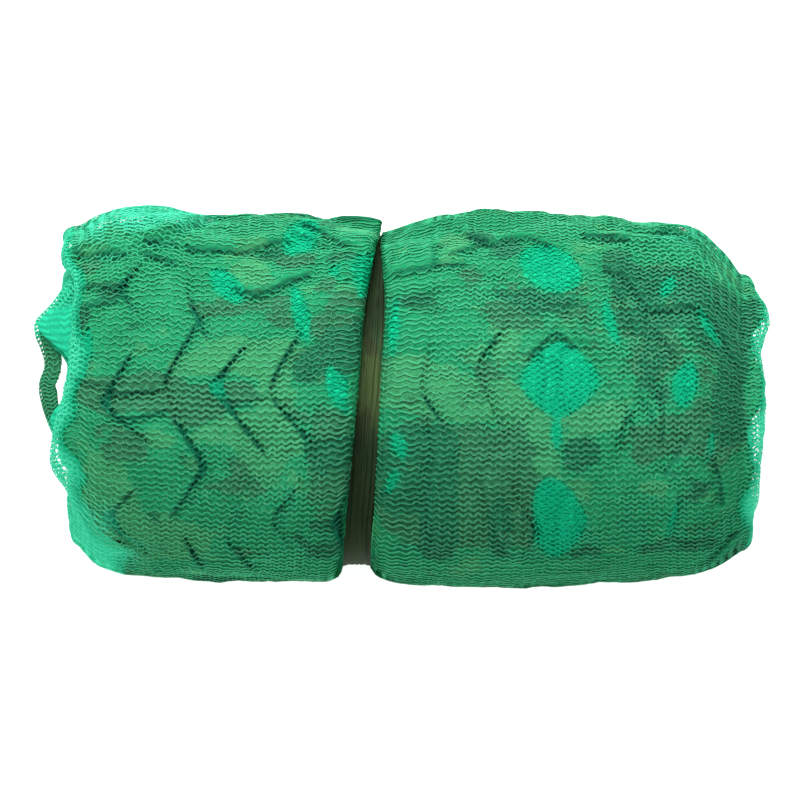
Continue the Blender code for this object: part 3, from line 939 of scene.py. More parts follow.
# The knit under the outer one.
INNER_DROP = 0.0018  # of its yarn under the outer one's
INNER_OVER_NET = 0.0004
INNER_LINK_DROP = 0.0004
INNER_ASIDE = (0.45 * WAVE, 0.48 * ROW_PITCH)  # along and across the rows
INNER_SHOWN = 0.35  # share of a hole from which it is made
INNER_LOOSE = 0.0045  # depth of a hollow from which it is made
INNER_LEFT, INNER_RIGHT = 0.030, 0.016  # how far in from the ends it is made

# Where the waves are longer or shorter than usual.
DRAWN_OUT = table("x reach share", (LEFT_END, 0.06, 0.14), (0.180, 0.05, -0.12))

# Where the knit is drawn out into an open mesh, and its rows hardly show; as seen, in mm.
MESH_PATCHES = table("x y wide tall strength",
    (-155, 62, 88, 60, 1.0), (-48, 38, 26, 46, 0.9), (-222, 0, 26, 90, 0.8),
    (-70, 100, 40, 30, 0.7), (70, 100, 90, 24, 0.8), (150, 55, 50, 40, 0.4), (232, 20, 26, 90, 0.7),
    (40, 30, 60, 46, 0.45), (-188, -104, 46, 24, 0.9), (222, 104, 44, 28, 0.8),
    (190, -112, 60, 14, 0.7)
)


def row_shift(q, s):
    """How far a row of knit runs off its straight line: its drag towards the tie, and wander."""
    right = DRAG_RIGHT * np.exp(-np.maximum(q - WAIST.x, 0) / DRAG_RIGHT_OVER) * (q >= WAIST.x)
    left = DRAG_LEFT * np.exp(-np.maximum(WAIST.x - q, 0) / DRAG_LEFT_OVER) * (q < WAIST.x)
    return right + left + (noise(q, s, ROW_WANDER) + noise(q, s, ROW_TREMBLE))


def wave_starts():
    """Where each wave of a row starts, along the row."""
    starts = [KNIT_FROM]
    while starts[-1] < KNIT_TO:
        drawn = sum(place.share * hump(starts[-1] - place.x, place.reach) for place in DRAWN_OUT)
        starts.append(starts[-1] + WAVE * (1 + drawn))
    return np.array(starts)


def row_places():
    """s of each row of the knit, from the free end round to the strip's next turn."""
    rows = [-KNIT_PAST]
    while rows[-1] < OUTER_LENGTH + KNIT_PAST:
        gathered = 1 - smooth_step((rows[-1] - GATHER_FROM) / (GATHER_TO - GATHER_FROM))
        rows.append(rows[-1] + ROW_PITCH * (1 - BACK_GATHER * gathered))
    return np.array(rows)


def mesh_share(q, s):
    """0 where the knit's rows lie close and plain, to 1 where it is an open mesh."""
    share = MESH_USUAL + noise(q, s, MESH_ROUGH)
    for patch in MESH_PATCHES:
        share = share + patch.strength * oval(patch, q, s)
    return np.clip(share, 0, 1)


def oval(place, x, s, squareness=1):
    """1 in the middle of a table's place, falling to nothing outside its width and height."""
    middle = seen_mm(place)
    across = ((x - middle[0]) / (place.wide * MM)) ** 2
    up = ((s - middle[1]) / (place.tall * MM)) ** 2
    return np.exp(-((across**squareness + up**squareness) ** 2))


def wave_height(q, s, mesh):
    """How high the yarn's waves are, as a share of the usual."""
    return (1 + noise(q, s, WAVE_ROUGH)) * (1 - MESH_FLATTER * mesh)


def knit_places():
    """Along-row and across-row places of every point of the knit's rows."""
    starts = wave_starts()
    lengths = np.diff(starts)
    share = np.array([place for place, _ in WAVE_SHAPE])
    q = (starts[:-1, None] + lengths[:, None] * share).ravel()
    wave = np.tile([height for _, height in WAVE_SHAPE], len(lengths)) * WAVE_HEIGHT / 2
    q, s = np.meshgrid(q, row_places())
    mesh = mesh_share(q, s)
    random = np.random.RandomState(34)
    moved = JITTER_ALONG * (1 + mesh) * random.uniform(-1, 1, q.shape)
    ragged = JITTER_ACROSS * (1 + MESH_RAGGED * mesh) * random.uniform(-1, 1, q.shape)
    s_moved = s + row_shift(q, s) + wave * wave_height(q, s, mesh) + ragged
    return q + noise(q, s, WAVE_DRIFT) + moved, s_moved


def row_fields(x, s):
    """Which row of the knit, and which wave of it, a place of the cloth lies under, to place the shade
    painted between rows.
    """
    rows, starts = row_places(), wave_starts()
    mesh = mesh_share(x, s)
    return {
        "row": np.interp(s - row_shift(x, s), rows, np.arange(len(rows))),
        "wave": np.interp(x - noise(x, s, WAVE_DRIFT), starts, np.arange(len(starts))),
        "wave_height": wave_height(x, s, mesh),
        "mesh": mesh,
    }


def on_cloth(q, s):
    """x on the roll of a place of the knit, and the turn; the ends' folds count as the end."""
    turn = turn_at(s)
    return np.clip(q, end_apex(-1, turn), end_apex(1, turn)), turn


BACK_SHINE_FROM, BACK_SHINE_OVER = 0.030, 0.035  # s up to which the yarn is painted bright at the roll's back, for light that would come through it
BACK_SHINE = 0.75
END_SHINE_INSET = 0.4  # radii of the cloth's fold, from its own edge, past which the yarn takes the net's colour and a glow is painted
THIN_DEPTH = 0.011  # of a hollow, at which the painted glow is full
OPENED_OVER, THIN_OVER = 0.003, 0.012  # at the roll's ends


def under_knit(q, s):
    """What lies under the knit at each place, as named shares, which tint the yarn: among them painted
    shade, a painted glow where the netting is thin, and painted brightness at the roll's back.
    """
    x, turn = on_cloth(q, s)
    values = print_fields(x, s)
    opened = sampled("opened", x, s)
    thin = smooth_step(sampled("hollow", x, s) / THIN_DEPTH)
    for side in BOTH:
        inset = END_SHINE_INSET * fold_radius(CLOTH, side, s) + recess_of(CLOTH, side, s)
        edge = end_apex(side, turn) - side * inset
        opened = np.maximum(opened, smooth_step((q - edge) * side / OPENED_OVER + 0.5))
        thin = np.maximum(thin, smooth_step((q - edge) * side / THIN_OVER + 0.1))
    # Painted brightness: at the roll's back the yarn takes the bright colour of open cloth, for light
    # that would come through it.
    back = 1 - smooth_step((s - BACK_SHINE_FROM) / BACK_SHINE_OVER)
    opened = np.maximum(opened, BACK_SHINE * back)
    return values | {"opened": opened, "thin": thin, "deep": sampled("deep", x, s)}


def knit_values(q, s, lift, link_drop):
    """Every value at each point of a knit: its places, what is under it, and which way is up."""
    x, _ = on_cloth(q, s)
    level = sampled("knit", x, s) + lift
    points = on_layer(KNIT, q, s, level)
    ups = on_layer(KNIT, q, s, level + 0.001) - points
    link_points = on_layer(KNIT, q, s, sampled("knit", x, s) + (lift - link_drop))
    return under_knit(q, s) | {"q": q, "s": s, "points": points, "ups": ups, "link": link_points}


def fold_shown(q, s):
    """Whether a place isn't under the tie, or on the part of a fold that can't be seen."""
    result = np.abs(q - WAIST.x) > UNDER_TIE
    for side in BOTH:
        radius = fold_radius(KNIT, side, s)
        past = (q - (end_apex(side, turn_at(s)) - side * radius)) * side
        result &= past < FOLD_SHOWN * radius
    return result


def linked(values, visible, first, last, start, end):
    """Links from points of each row to points of the next, one a wave: each value's ends.

    start and end are (row, place along the wave) from a row and wave on."""
    waves = visible.shape[1] // POINTS_A_WAVE - 2
    columns = POINTS_A_WAVE * (np.arange(waves) + 1)
    here = np.arange(first, last - 1)[:, None]
    start, end = ((here + row, columns + place) for row, place in (start, end))
    result = {}
    for name, value in (values | {"shown": visible}).items():
        pair = np.stack([value[start], value[end]], axis=2)
        result[name] = pair.reshape((-1, 2) + value.shape[2:])
    result["shown"] = result["shown"].all(axis=1, keepdims=True)
    return result


def knit_piece(name, material, first, last, values, visible):
    """One piece of knit: yarn along its rows, from the first to the last, and thin links
    between them. visible says which points of the knit are made."""
    q, s = values["q"], values["s"]
    wide = 1 + np.random.RandomState(36).uniform(-THREAD_UNEVEN, THREAD_UNEVEN, q.shape)
    wide = THREAD * (wide * (1 - MESH_THINNER * mesh_share(q, s)) + noise(q, s, YARN_ROUGH))
    plain = smooth_step(-np.maximum(values["dark"], values["brown"]) / PLAIN_OVER)
    high = THREAD_HEIGHT * (1 - PLAIN_FLATTER * plain)
    lengths = visible[:, :-1] & visible[:, 1:]
    rows = slice(first, last)
    yarn = tubes(values["points"][rows], values["ups"][rows], wide[rows, :, None],
                 high[rows, :, None], lengths[rows])
    reach = min(last + 1, len(q))
    links = [linked(values, visible, first, reach, start, end)
             for start, end in (((0, 1), (1, 2)), ((0, 0), (1, -1)))]
    links = {key: np.concatenate([link[key] for link in links]) for key in links[0]}
    mesh = mesh_share(links["q"], links["s"])
    thick = (WALE_THREAD * (1 + LINK_OPENED * links["opened"] + LINK_MESH * mesh))[..., None]
    points, faces = joined(yarn, tubes(links["link"], links["ups"], thick, thick, links["shown"]))
    carried = {key: on_tubes(values[key][rows], links[key])
               for key in ("light", "brown", "dark", "opened", "thin", "deep")}
    return new_piece(name, points, faces, material, values=carried, smooth=False)


def outer_knit(material):
    """The knit over the outer turn: wavy rows, tied to each other by thin wales."""
    q, s = knit_places()
    values, visible = knit_values(q, s, 0.0, LINK_DROP), fold_shown(q, s)
    bounds = np.linspace(0, len(q), KNIT_PARTS + 1).astype(int)
    return [
        knit_piece(f"outer_knit_{part + 1}", material, *bounds[part:part + 2], values, visible)
        for part in range(KNIT_PARTS)
    ]


def inner_knit(material):
    """The knit on the cloth's other side, where it can be seen: in the open cuts, at the
    roll's ends, and where the outer knit stands off."""
    q, s = knit_places()
    q, s = q + INNER_ASIDE[0], s + INNER_ASIDE[1]
    x, turn = on_cloth(q, s)
    under = sampled("net", x, s) - sampled("knit", x, s)
    lift = np.maximum(-INNER_DROP, under + INNER_OVER_NET)
    values = knit_values(q, s, lift, INNER_LINK_DROP)
    bare = (sampled("holes", x, s) > INNER_SHOWN) | (sampled("hollow", x, s) > INNER_LOOSE)
    at_end = (q > end_apex(1, turn) - INNER_RIGHT) | (q < end_apex(-1, turn) + INNER_LEFT)
    visible = fold_shown(q, s) & (bare | (at_end & (values["opened"] > INNER_SHOWN)))
    return knit_piece("inner_knit", material, 0, len(q), values, visible)


# ------------ the printed cloth

CLOTH_SPACING = 0.0027
CLOTH_SHAKEN = 0.0003
CLOTH_FROM, CLOTH_PAST = -0.003, 0.004  # s, before the free end and past the whole turn
CLEAR_OF_CUTS = 0.45  # of the spacing, that places keep from a cut's outline


def slit_outline(slit):
    """A slit's two lips as one closed outline."""
    gap = np.stack([np.maximum(slit.widths, 0.00015) / 2, np.zeros(len(slit.widths))], axis=-1)
    return np.concatenate([slit.line - gap, (slit.line + gap)[::-1]])


def cloth_triangles(outlines):
    """Places on the cloth, and the triangles between them, which leave the outlines open."""
    count_s, count_x = int(OUTER_LENGTH / (CLOTH_SPACING * 0.9)), int(0.5 / CLOTH_SPACING)
    s = np.linspace(CLOTH_FROM, OUTER_LENGTH + CLOTH_PAST, count_s)
    share = (np.arange(count_x) + 0.5) / count_x
    low, high = layer_ends(CLOTH, s)
    stagger = np.where(np.arange(count_s) % 2, 0.5, 0.0)[:, None] / count_x
    random = np.random.RandomState(43)
    jitter = random.uniform(-CLOTH_SHAKEN, CLOTH_SHAKEN, (count_s, count_x))
    x = low[:, None] + (share[None, :] - 0.25 / count_x + stagger) * (high - low)[:, None] + jitter
    x[:, 0], x[:, -1] = low, high
    points = np.stack([x, np.broadcast_to(s[:, None], x.shape)], axis=-1).reshape(-1, 2)
    keep = np.ones(len(points), bool)
    for outline in outlines:
        index = near_outline(points, outline, CLOTH_SPACING)
        index = index[keep[index]]
        apart = np.linalg.norm(points[index][:, None] - outline[None], axis=-1).min(axis=1)
        drop = apart < CLOTH_SPACING * CLEAR_OF_CUTS
        drop |= inside(outline, points[index, 0], points[index, 1])
        keep[index[drop]] = False
    points, edges = points[keep], []
    for outline in outlines:
        first, count = len(points), len(outline)
        points = np.concatenate([points, outline])
        edges += [(first + a, first + (a + 1) % count) for a in range(count)]
    result = delaunay_2d_cdt([Vector(p) for p in points], edges, [], 0, 1e-7, False)
    flat = np.array([(v.x, v.y) for v in result[0]])
    faces = np.array([f for f in result[2] if len(f) == 3])
    middle = flat[faces].mean(axis=1)
    low, high = layer_ends(CLOTH, middle[:, 1])
    kept = (middle[:, 0] > low) & (middle[:, 0] < high)
    for outline in outlines:
        index = near_outline(middle, outline, 0)
        kept[index[inside(outline, middle[index, 0], middle[index, 1])]] = False
    return flat, faces[kept]


def near_outline(points, outline, margin):
    """Which points lie in the outline's box, or within a margin of it."""
    low, high = outline.min(axis=0) - margin, outline.max(axis=0) + margin
    return np.nonzero(np.all((points > low) & (points < high), axis=1))[0]


def printed_cloth(material):
    """The cloth between the knits, with its cuts, on the outer turn."""
    flat, faces = cloth_triangles(holes + [slit_outline(slit) for slit in slits])
    x, s = flat.T
    values = print_fields(x, s) | {"deep": sampled("deep", x, s)} | row_fields(x, s)
    points = on_layer(CLOTH, x, s, sampled("cloth", x, s))
    return new_piece("printed_cloth", points, faces, material, uv=(x, s), values=values)


# ------------ the inner net and the plies

NET_STEP = 0.0034
NET_FROM = -0.002


def inner_net(material):
    """A closed layer on the cloth's other side, which shows between the inner knit's yarn."""
    rows, columns = int(OUTER_LENGTH / NET_STEP), int(0.49 / NET_STEP)
    s = np.linspace(NET_FROM, OUTER_LENGTH + CLOTH_PAST, rows)
    low, high = layer_ends(NET, s)
    x = low[:, None] + np.linspace(0, 1, columns)[None] * (high - low)[:, None]
    s = np.broadcast_to(s[:, None], x.shape)
    points = on_layer(NET, x, s, sampled("net", x, s))
    under = under_knit(x, s)
    return new_piece("inner_net", points, grid_faces(rows, columns), material, uv=(x, s),
                     values={key: under[key] for key in ("deep", "thin")})


PLY_DROP = 0.0085  # of the plies under the outer turn's net
PLY_ROWS = 460
PLY_EVENNESS = 1.12  # over 1, rows lie closer near the free end
PLY_SCALE = 0.62  # metres of pattern a turn
FOLDS = 5  # folded edges through the thickness of the strip
POINTS_A_FOLD = 5
FOLD_DEPTH = 0.0060
PLY_INSET = 0.0080  # of the folded edges from the strip's own end
FIRST_PLY_INSET = 0.004  # more for the outer turn, from its net
PLY_STATIONS = np.array((0.03, 0.10, 0.18, 0.26, 0.34, 0.395, 0.42, 0.44, 0.455, 0.475, 0.50,
                         0.53, 0.58, 0.66, 0.74, 0.82, 0.90, 0.97))

# Where the wound plies lie further in than usual at the roll's ends, as seen, in mm.
END_GAPS = table("side up reach depth",
    (-1, 14, 26, 11), (-1, -52, 24, 5), (-1, -76, 14, 8), (1, -26, 30, 8), (1, 56, 24, 7),
    (1, -80, 16, 6)
)


def ply_end(side, turn, fold, along):
    """x of the folded edges at an end, for places through and along the strip."""
    apex = end_apex(side, turn)
    uneven = noise(along, fold * 7.3 + side, PLY_EDGE)
    recess = np.where(turn < 1, recess_of(NET, side, along) + FIRST_PLY_INSET, 0.0)
    y = at_inset(apex, turn, face_insets(apex, turn)[0])[..., 1]
    for gap in END_GAPS:
        if gap.side == side:
            recess = recess + gap.depth * MM * hump(y - gap.up * MM, gap.reach * MM, 4)
    return apex - side * (recess + PLY_INSET + uneven)


def rolled_plies(material):
    """The whole wound strip under the outer net: its faces and its folded edges at the ends."""
    turn = np.linspace(0.0, 1.0, PLY_ROWS) ** PLY_EVENNESS * TURNS
    along = turn * PLY_SCALE
    points, uvs = [], []

    def add(x, through, u):
        outer, inner = face_insets(x, turn)
        hollow = sampled("hollow", x, length_at(np.minimum(turn, 1.0)))
        for drop in (PLY_DROP, hollow, sagged(x, turn)):
            outer = outer + np.where(turn < 1, drop, 0.0)
        points.append(placed(at_inset(x, turn, outer + (inner - outer) * through)))
        uvs.append(u + 0 * turn)

    def add_end(side, steps):
        for through in steps:
            fold = min(int(through * FOLDS), FOLDS - 1)
            off = 2 * (through * FOLDS - fold) - 1
            depth = FOLD_DEPTH * (1 - math.sqrt(max(1 - off**2, 0.0)))
            add(ply_end(side, turn, fold, along) - side * depth, through, through * 0.05)

    low, high = ply_end(-1, turn, 0, along), ply_end(1, turn, 0, along)
    for through, shares, side in ((0.0, PLY_STATIONS, 1), (1.0, PLY_STATIONS[::-2], -1)):
        for share in shares:
            add(low + (high - low) * share, through, low + (high - low) * share)
        add_end(side, np.linspace(0, 1, FOLDS * POINTS_A_FOLD + 1)[::side])
    points, u = np.stack(points + points[:1], axis=1), np.stack(uvs + uvs[:1], axis=1)
    return new_piece("rolled_plies", points, grid_faces(*u.shape), material,
                     uv=np.broadcast_arrays(u, along[:, None]))


# ------------ loose loops at the ends

# A folded edge of an inner turn that has sprung out of the roll's end as a loop: points of
# its outermost line in mm, as seen and above the floor.
Loop = namedtuple("Loop", "side width thick cloth_from cloth_to points")
LOOPS = (
    Loop(-1, 12, 7, 0.36, 0.86,
         ((-228, 88, 132), (-236, 77, 137), (-245, 65, 139), (-255, 54, 140), (-255, 44, 139),
          (-251, 34, 138), (-248.5, 23, 136), (-252, 12, 134), (-252, 2, 131), (-246, -18, 126),
          (-236, -38, 120))),
    Loop(1, 8, 6, 0.0, 0.0,
         ((236, -50, 112), (244, -60, 110), (247, -72, 106), (247, -86, 100), (242, -98, 94),
          (232, -108, 90))),
)
LOOP_ROW = 0.0030
LOOP_STEP = 0.0016
LOOP_GIRTH = 2.6  # times its width, across its fold
LOOP_OPENING = math.radians(118)  # how far its fold bends either way
LOOP_DEEPEST = 1.47  # about 1 - cos at the fold's edges
LOOP_YARN = (0.0007, 0.0004)  # half its width and height
LOOP_LINK = 0.0003
LOOP_CLOTH_THINNER = 1.6  # mm
RIBBON_FADE = 0.06  # share of the loop over which its cloth comes to show through the knit
LOOP_CLOTH_ROWS, LOOP_CLOTH_COLUMNS = 56, 18


def loop_places(loop, across, along):
    """Places on a loop's fold, and the way out from it. across runs from 0, inside the roll
    on top, round the outermost line at 0.5, to 1 inside below; along is a share."""
    points = np.array(loop.points, float) * MM
    nearer = (CAMERA_HEIGHT - points[:, 2]) / (CAMERA_HEIGHT - MIDDLE_HEIGHT)
    points[:, :2] *= nearer[:, None]
    steps = even_places(points)
    line = np.column_stack([steps / steps[-1], points])
    edge = smooth_through(line, along)
    ahead = unit(smooth_through(line, along + 0.01) - edge)
    inward = np.stack([ahead[..., 1], -ahead[..., 0], np.zeros(ahead.shape[:-1])], axis=-1)
    inward *= np.sign(-loop.side * inward[..., :1])
    angle = (across - 0.5) * 2 * LOOP_OPENING
    depth = loop.width * MM * (1 - np.cos(angle)) / LOOP_DEEPEST
    place = edge + inward * depth[..., None]
    place[..., 2] += -loop.thick * MM / 2 * np.sin(angle)
    out = -inward * np.cos(angle)[..., None]
    out[..., 2] -= np.sin(angle)
    return place, out, steps[-1]


def loop_knit(loop, number, material):
    """A loop's knit: a row of yarn round its fold at each step along it, and thin links."""
    length = loop_places(loop, np.array([0.5]), np.array([0.5]))[2]
    rows, columns = int(length / LOOP_ROW), int(LOOP_GIRTH * loop.width * MM / LOOP_STEP)
    along, across = np.meshgrid(np.linspace(0, 1, rows), np.linspace(0, 1, columns), indexing="ij")
    wave = np.where(np.arange(columns) // 2 % 2, 1, -1) * 0.25 / rows
    random = np.random.RandomState(70 + number)
    along = np.clip(along + wave + random.uniform(-0.10, 0.10, along.shape) / rows, 0, 1)
    points, ups, _ = loop_places(loop, across, along)
    yarn = tubes(points, ups, *LOOP_YARN, np.ones((rows, columns - 1), bool))
    start, end = slice(None, -1), slice(1, None)
    links, link_ups, link_along = (
        np.stack([value[start, 1::2], value[end, 1::2]], axis=2).reshape((-1, 2) + value.shape[2:])
        for value in (points, ups, along)
    )
    shown = np.ones((len(links), 1), bool)
    made, faces = joined(yarn, tubes(links, link_ups, LOOP_LINK, LOOP_LINK, shown))
    at = on_tubes(along, link_along)
    ribbon = smooth_step((at - loop.cloth_from) / RIBBON_FADE)
    ribbon = ribbon * smooth_step((loop.cloth_to - at) / RIBBON_FADE)
    none = np.zeros(len(made))
    # Where no cloth is inside the loop, its yarn takes the net's colour and a glow is painted.
    values = {"opened": 1 - 0.85 * ribbon, "thin": 0.7 * (1 - ribbon), "deep": none,
              "light": none - 1, "brown": ribbon - 0.8, "dark": none - 1}
    return new_piece(f"end_loop_{number}", made, faces, material, values=values, smooth=False)


def loop_cloth(loop, number, material):
    """A ribbon of the printed cloth inside a loop's knit."""
    along, across = np.meshgrid(
        np.linspace(loop.cloth_from, loop.cloth_to, LOOP_CLOTH_ROWS),
        np.linspace(0.02, 0.98, LOOP_CLOTH_COLUMNS), indexing="ij"
    )
    thinner = loop._replace(thick=loop.thick - LOOP_CLOTH_THINNER)
    points, _, length = loop_places(thinner, across, along)
    inward = 0.4 * MM + np.maximum(noise(along, across * 0, LOOP_FRAY), 0)
    points[..., 0] -= loop.side * inward
    u, v = across * 0.05, along * length
    tone = noise(u, v, LOOP_TONE)
    values = dict.fromkeys(("deep", "row", "wave", "wave_height", "mesh"), np.zeros(tone.shape))
    values |= {"light": tone - 0.1, "brown": -tone + 0.25, "dark": tone - 0.35}
    return new_piece(f"end_loop_cloth_{number}", points, grid_faces(*along.shape), material,
                     uv=(u, v), values=values)


def end_loops(knit_material, cloth_material):
    """The loops: knit, over a narrower fold of printed cloth where there is any."""
    pieces = []
    for number, loop in enumerate(LOOPS, 1):
        pieces.append(loop_knit(loop, number, knit_material))
        if loop.cloth_to > loop.cloth_from:
            pieces.append(loop_cloth(loop, number, cloth_material))
    return pieces


# ------------ the tie

TIE_WIDTH = 0.0205
TIE_PLEATS = 6
TIE_ROWS, TIE_COLUMNS = 300, 60
TIE_UNSHADED_AT, TIE_SHADE_REACH = 0.016, 0.040  # y round which no shade is painted on the tie, and the reach over which painted shade darkens it away from there
TIE_FRONT, TIE_FRONT_OVER = 0.085, 0.020  # how far forward it starts to swell out of its groove
TIE_SWELL, TIE_CUPPED = 0.0040, 0.0040  # along its middle, and how much more at its edges
TIE_THICK = 0.0006
PLEAT_HEIGHT, PLEAT_CALMER = 0.0013, 0.8  # and how much lower the pleats are at the front
TIE_CROWN = 0.0010
TIE_WIDER = 0.15  # at the front
TIE_EDGE = 0.497  # of its width from its middle, where it lies on the roll
TIE_SHADE_STRENGTH = 0.80


def convex_hull(points):
    """The corners of the tightest loop round points in a plane, anticlockwise."""
    points = sorted(map(tuple, points))
    corners = []
    for row in (points, points[::-1]):
        chain = []
        for y, z in row:
            while len(chain) > 1:
                (y0, z0), (y1, z1) = chain[-2:]
                if (y1 - y0) * (z - z0) - (z1 - z0) * (y - y0) > 0:
                    break
                chain.pop()
            chain.append((y, z))
        corners += chain[:-1]
    return np.array(corners)


def tie_cloth(material):
    """The strip of cloth pulled tight round the waist, gathered into pleats along its length."""
    turns = np.linspace(0, 1, 500)
    waist = np.full(500, WAIST.x)
    ring = at_inset(waist, turns, face_insets(waist, turns)[0])
    hull = convex_hull(ring[:, 1:])
    closed = np.vstack([hull, hull[:1]])
    lengths = even_places(closed)
    v = np.linspace(0, lengths[-1], TIE_ROWS, endpoint=False)
    y, z = np.interp(v, lengths, closed[:, 0]), np.interp(v, lengths, closed[:, 1])
    step = np.stack([np.roll(y, -3) - np.roll(y, 3), np.roll(z, -3) - np.roll(z, 3)], axis=-1)
    step = unit(step)
    v_grid, across = np.meshgrid(v, np.linspace(-0.5, 0.5, TIE_COLUMNS), indexing="ij")
    y, z = y[:, None], z[:, None]
    turned = 2 * math.pi * v_grid / lengths[-1]
    wander = 0.9 * np.sin(turned * 2 + 1) + 0.6 * np.sin(turned * 5 + 2)
    pleat = 0.5 + 0.5 * np.sin(2 * math.pi * TIE_PLEATS * across + wander + 2.0 * across * wander)
    edge = (2 * across) ** 4
    crown = 1 - edge
    forward = smooth_step((-y - TIE_FRONT) / TIE_FRONT_OVER)
    lift = TIE_THICK + PLEAT_HEIGHT * pleat**1.5 * crown * (1 - PLEAT_CALMER * forward)
    lift = lift + noise(across, v_grid, TIE_ROUGH) + TIE_CROWN * crown
    lift = lift + forward * (TIE_SWELL + TIE_CUPPED * edge)
    lift = np.where(np.abs(across) > TIE_EDGE, 0.0, lift)
    width = TIE_WIDTH * (1 + 0.05 * np.sin(turned * 3)) * (1 + TIE_WIDER * forward)
    x = leaned(WAIST.x, y) + across * width
    points = placed(np.stack([x, y + step[:, 1:] * lift, z - step[:, :1] * lift], axis=-1))
    faces = grid_faces(TIE_ROWS + 1, TIE_COLUMNS) % (TIE_ROWS * TIE_COLUMNS)
    # Painted shade, darker towards the roll's front and back, where the lobes overhang the tie.
    tie_painted_shade = TIE_SHADE_STRENGTH * smooth_step(np.abs(points[..., 1] - TIE_UNSHADED_AT) / TIE_SHADE_REACH - 0.25)
    piece = new_piece("tie_strip", points, faces, material,
                      uv=(across * 0.06, v_grid), values={"tie_painted_shade": tie_painted_shade})
    return piece, lengths[-1]


# ------------ materials

PAINTED_GLOW_STRENGTH = 0.27  # how strong the painted glow is, an emission standing in for light through netting with nothing behind it


class Looks:
    """A node material, built up by short calls. colour is what has been laid so far."""

    def __init__(self, name, where="UV"):
        self.material = bpy.data.materials.new(name)
        self.material.use_nodes = True
        self.tree = self.material.node_tree
        self.shader = self.tree.nodes["Principled BSDF"]
        self.where = self.node("ShaderNodeTexCoord").outputs[where]
        self.colour = None

    def node(self, kind, settings=None, **inputs):
        """A node, with values or links for its inputs, by name or as _ and their number."""
        made = self.tree.nodes.new(kind)
        for key, value in (settings or {}).items():
            setattr(made, key, value)
        for key, value in inputs.items():
            self.put(value, made.inputs[int(key[1:]) if key[0] == "_" else key.replace("_", " ")])
        return made

    def put(self, value, socket):
        if isinstance(value, bpy.types.NodeSocket):
            self.tree.links.new(value, socket)
        else:
            socket.default_value = value

    def math(self, operation, a, b=0.0, c=0.0):
        return self.node("ShaderNodeMath", {"operation": operation}, _0=a, _1=b, _2=c).outputs[0]

    def times(self, value, factor, plus=None):
        if plus is None:
            return self.math("MULTIPLY", value, factor)
        return self.math("MULTIPLY_ADD", value, factor, plus)

    def mix(self, share, a, b):
        return self.node("ShaderNodeMix", {"data_type": "RGBA"}, _0=share, _6=a, _7=b).outputs[2]

    def lay(self, share, *colour):
        """Lays a colour, as three numbers or a socket, over what has been laid."""
        over = colour[0] if len(colour) == 1 else rgb(*colour)
        self.colour = self.mix(share, self.colour, over)

    def noise(self, scale, detail=2.0, where=None):
        made = self.node("ShaderNodeTexNoise", Vector=where or self.where, Scale=scale, Detail=detail)
        return made.outputs[0]

    def uneven(self, scale, detail):
        return self.math("SUBTRACT", self.noise(scale, detail), 0.5)

    def attribute(self, name):
        return self.node("ShaderNodeAttribute", {"attribute_name": name}).outputs["Fac"]

    def step(self, value, edge, soft):
        """0 below the edge and 1 above it, over a soft width."""
        made = self.node("ShaderNodeMapRange", {"interpolation_type": "SMOOTHSTEP"},
                         Value=value, From_Min=edge - soft, From_Max=edge + soft)
        return made.outputs[0]

    def bump(self, height, strength, distance):
        made = self.node("ShaderNodeBump", Height=height, Strength=strength, Distance=distance)
        self.put(made.outputs[0], self.shader.inputs["Normal"])

    def paint_glow(self, *colour):
        """Paints a glow where netting is thin: a lighter colour and an emission, standing in for light
        that would come through it from behind.
        """
        thin = self.attribute("thin")
        self.lay(thin, *colour)
        self.put(self.times(thin, PAINTED_GLOW_STRENGTH), self.shader.inputs["Emission Strength"])
        self.put(rgb(0.06, 1.0, 0.54), self.shader.inputs["Emission Color"])
        self.material.cycles.emission_sampling = "NONE"

    def finish(self, roughness, specular, **constants):
        self.put(self.colour, self.shader.inputs["Base Color"])
        constants |= {"Roughness": roughness, "Specular_IOR_Level": specular}
        for key, value in constants.items():
            self.shader.inputs[key.replace("_", " ")].default_value = value
        return self.material


def rgb(red, green, blue):
    return (red, green, blue, 1.0)


PRINT_GROUND = rgb(0.004, 0.322, 0.124)
PRINT_TONES = {  # the last one wins where they meet
    "light": (0.056, 0.375, 0.138),
    "brown": (0.036, 0.178, 0.076),
    "dark": (0.001, 0.106, 0.045),
}
PRINT_RAGGED = 0.50
PRINT_FRAYED = 0.45
PRINT_OF_YARN = 0.62  # how much of the print's colour the yarn over it takes
BLOTCH_SOFT = 0.12
PAINTED_SHADE_COLOUR = (0.002, 0.060, 0.036)


def lay_print(looks):
    """The woodland print's colour, from how far inside each tone's blotches a place lies."""
    ragged = looks.times(looks.uneven(110.0, 3.0), PRINT_RAGGED)
    ragged = looks.times(looks.uneven(420.0, 1.0), PRINT_FRAYED, ragged)
    looks.colour = PRINT_GROUND
    for name, tone in PRINT_TONES.items():
        looks.lay(looks.step(looks.math("ADD", looks.attribute(name), ragged), 0.0, BLOTCH_SOFT), *tone)
    fibres = looks.noise(640.0)
    looks.lay(looks.times(looks.step(fibres, 0.54, 0.08), 0.27), 0.110, 0.250, 0.105)
    looks.lay(looks.times(looks.step(fibres, 0.42, -0.08), 0.32), 0.000, 0.300, 0.125)


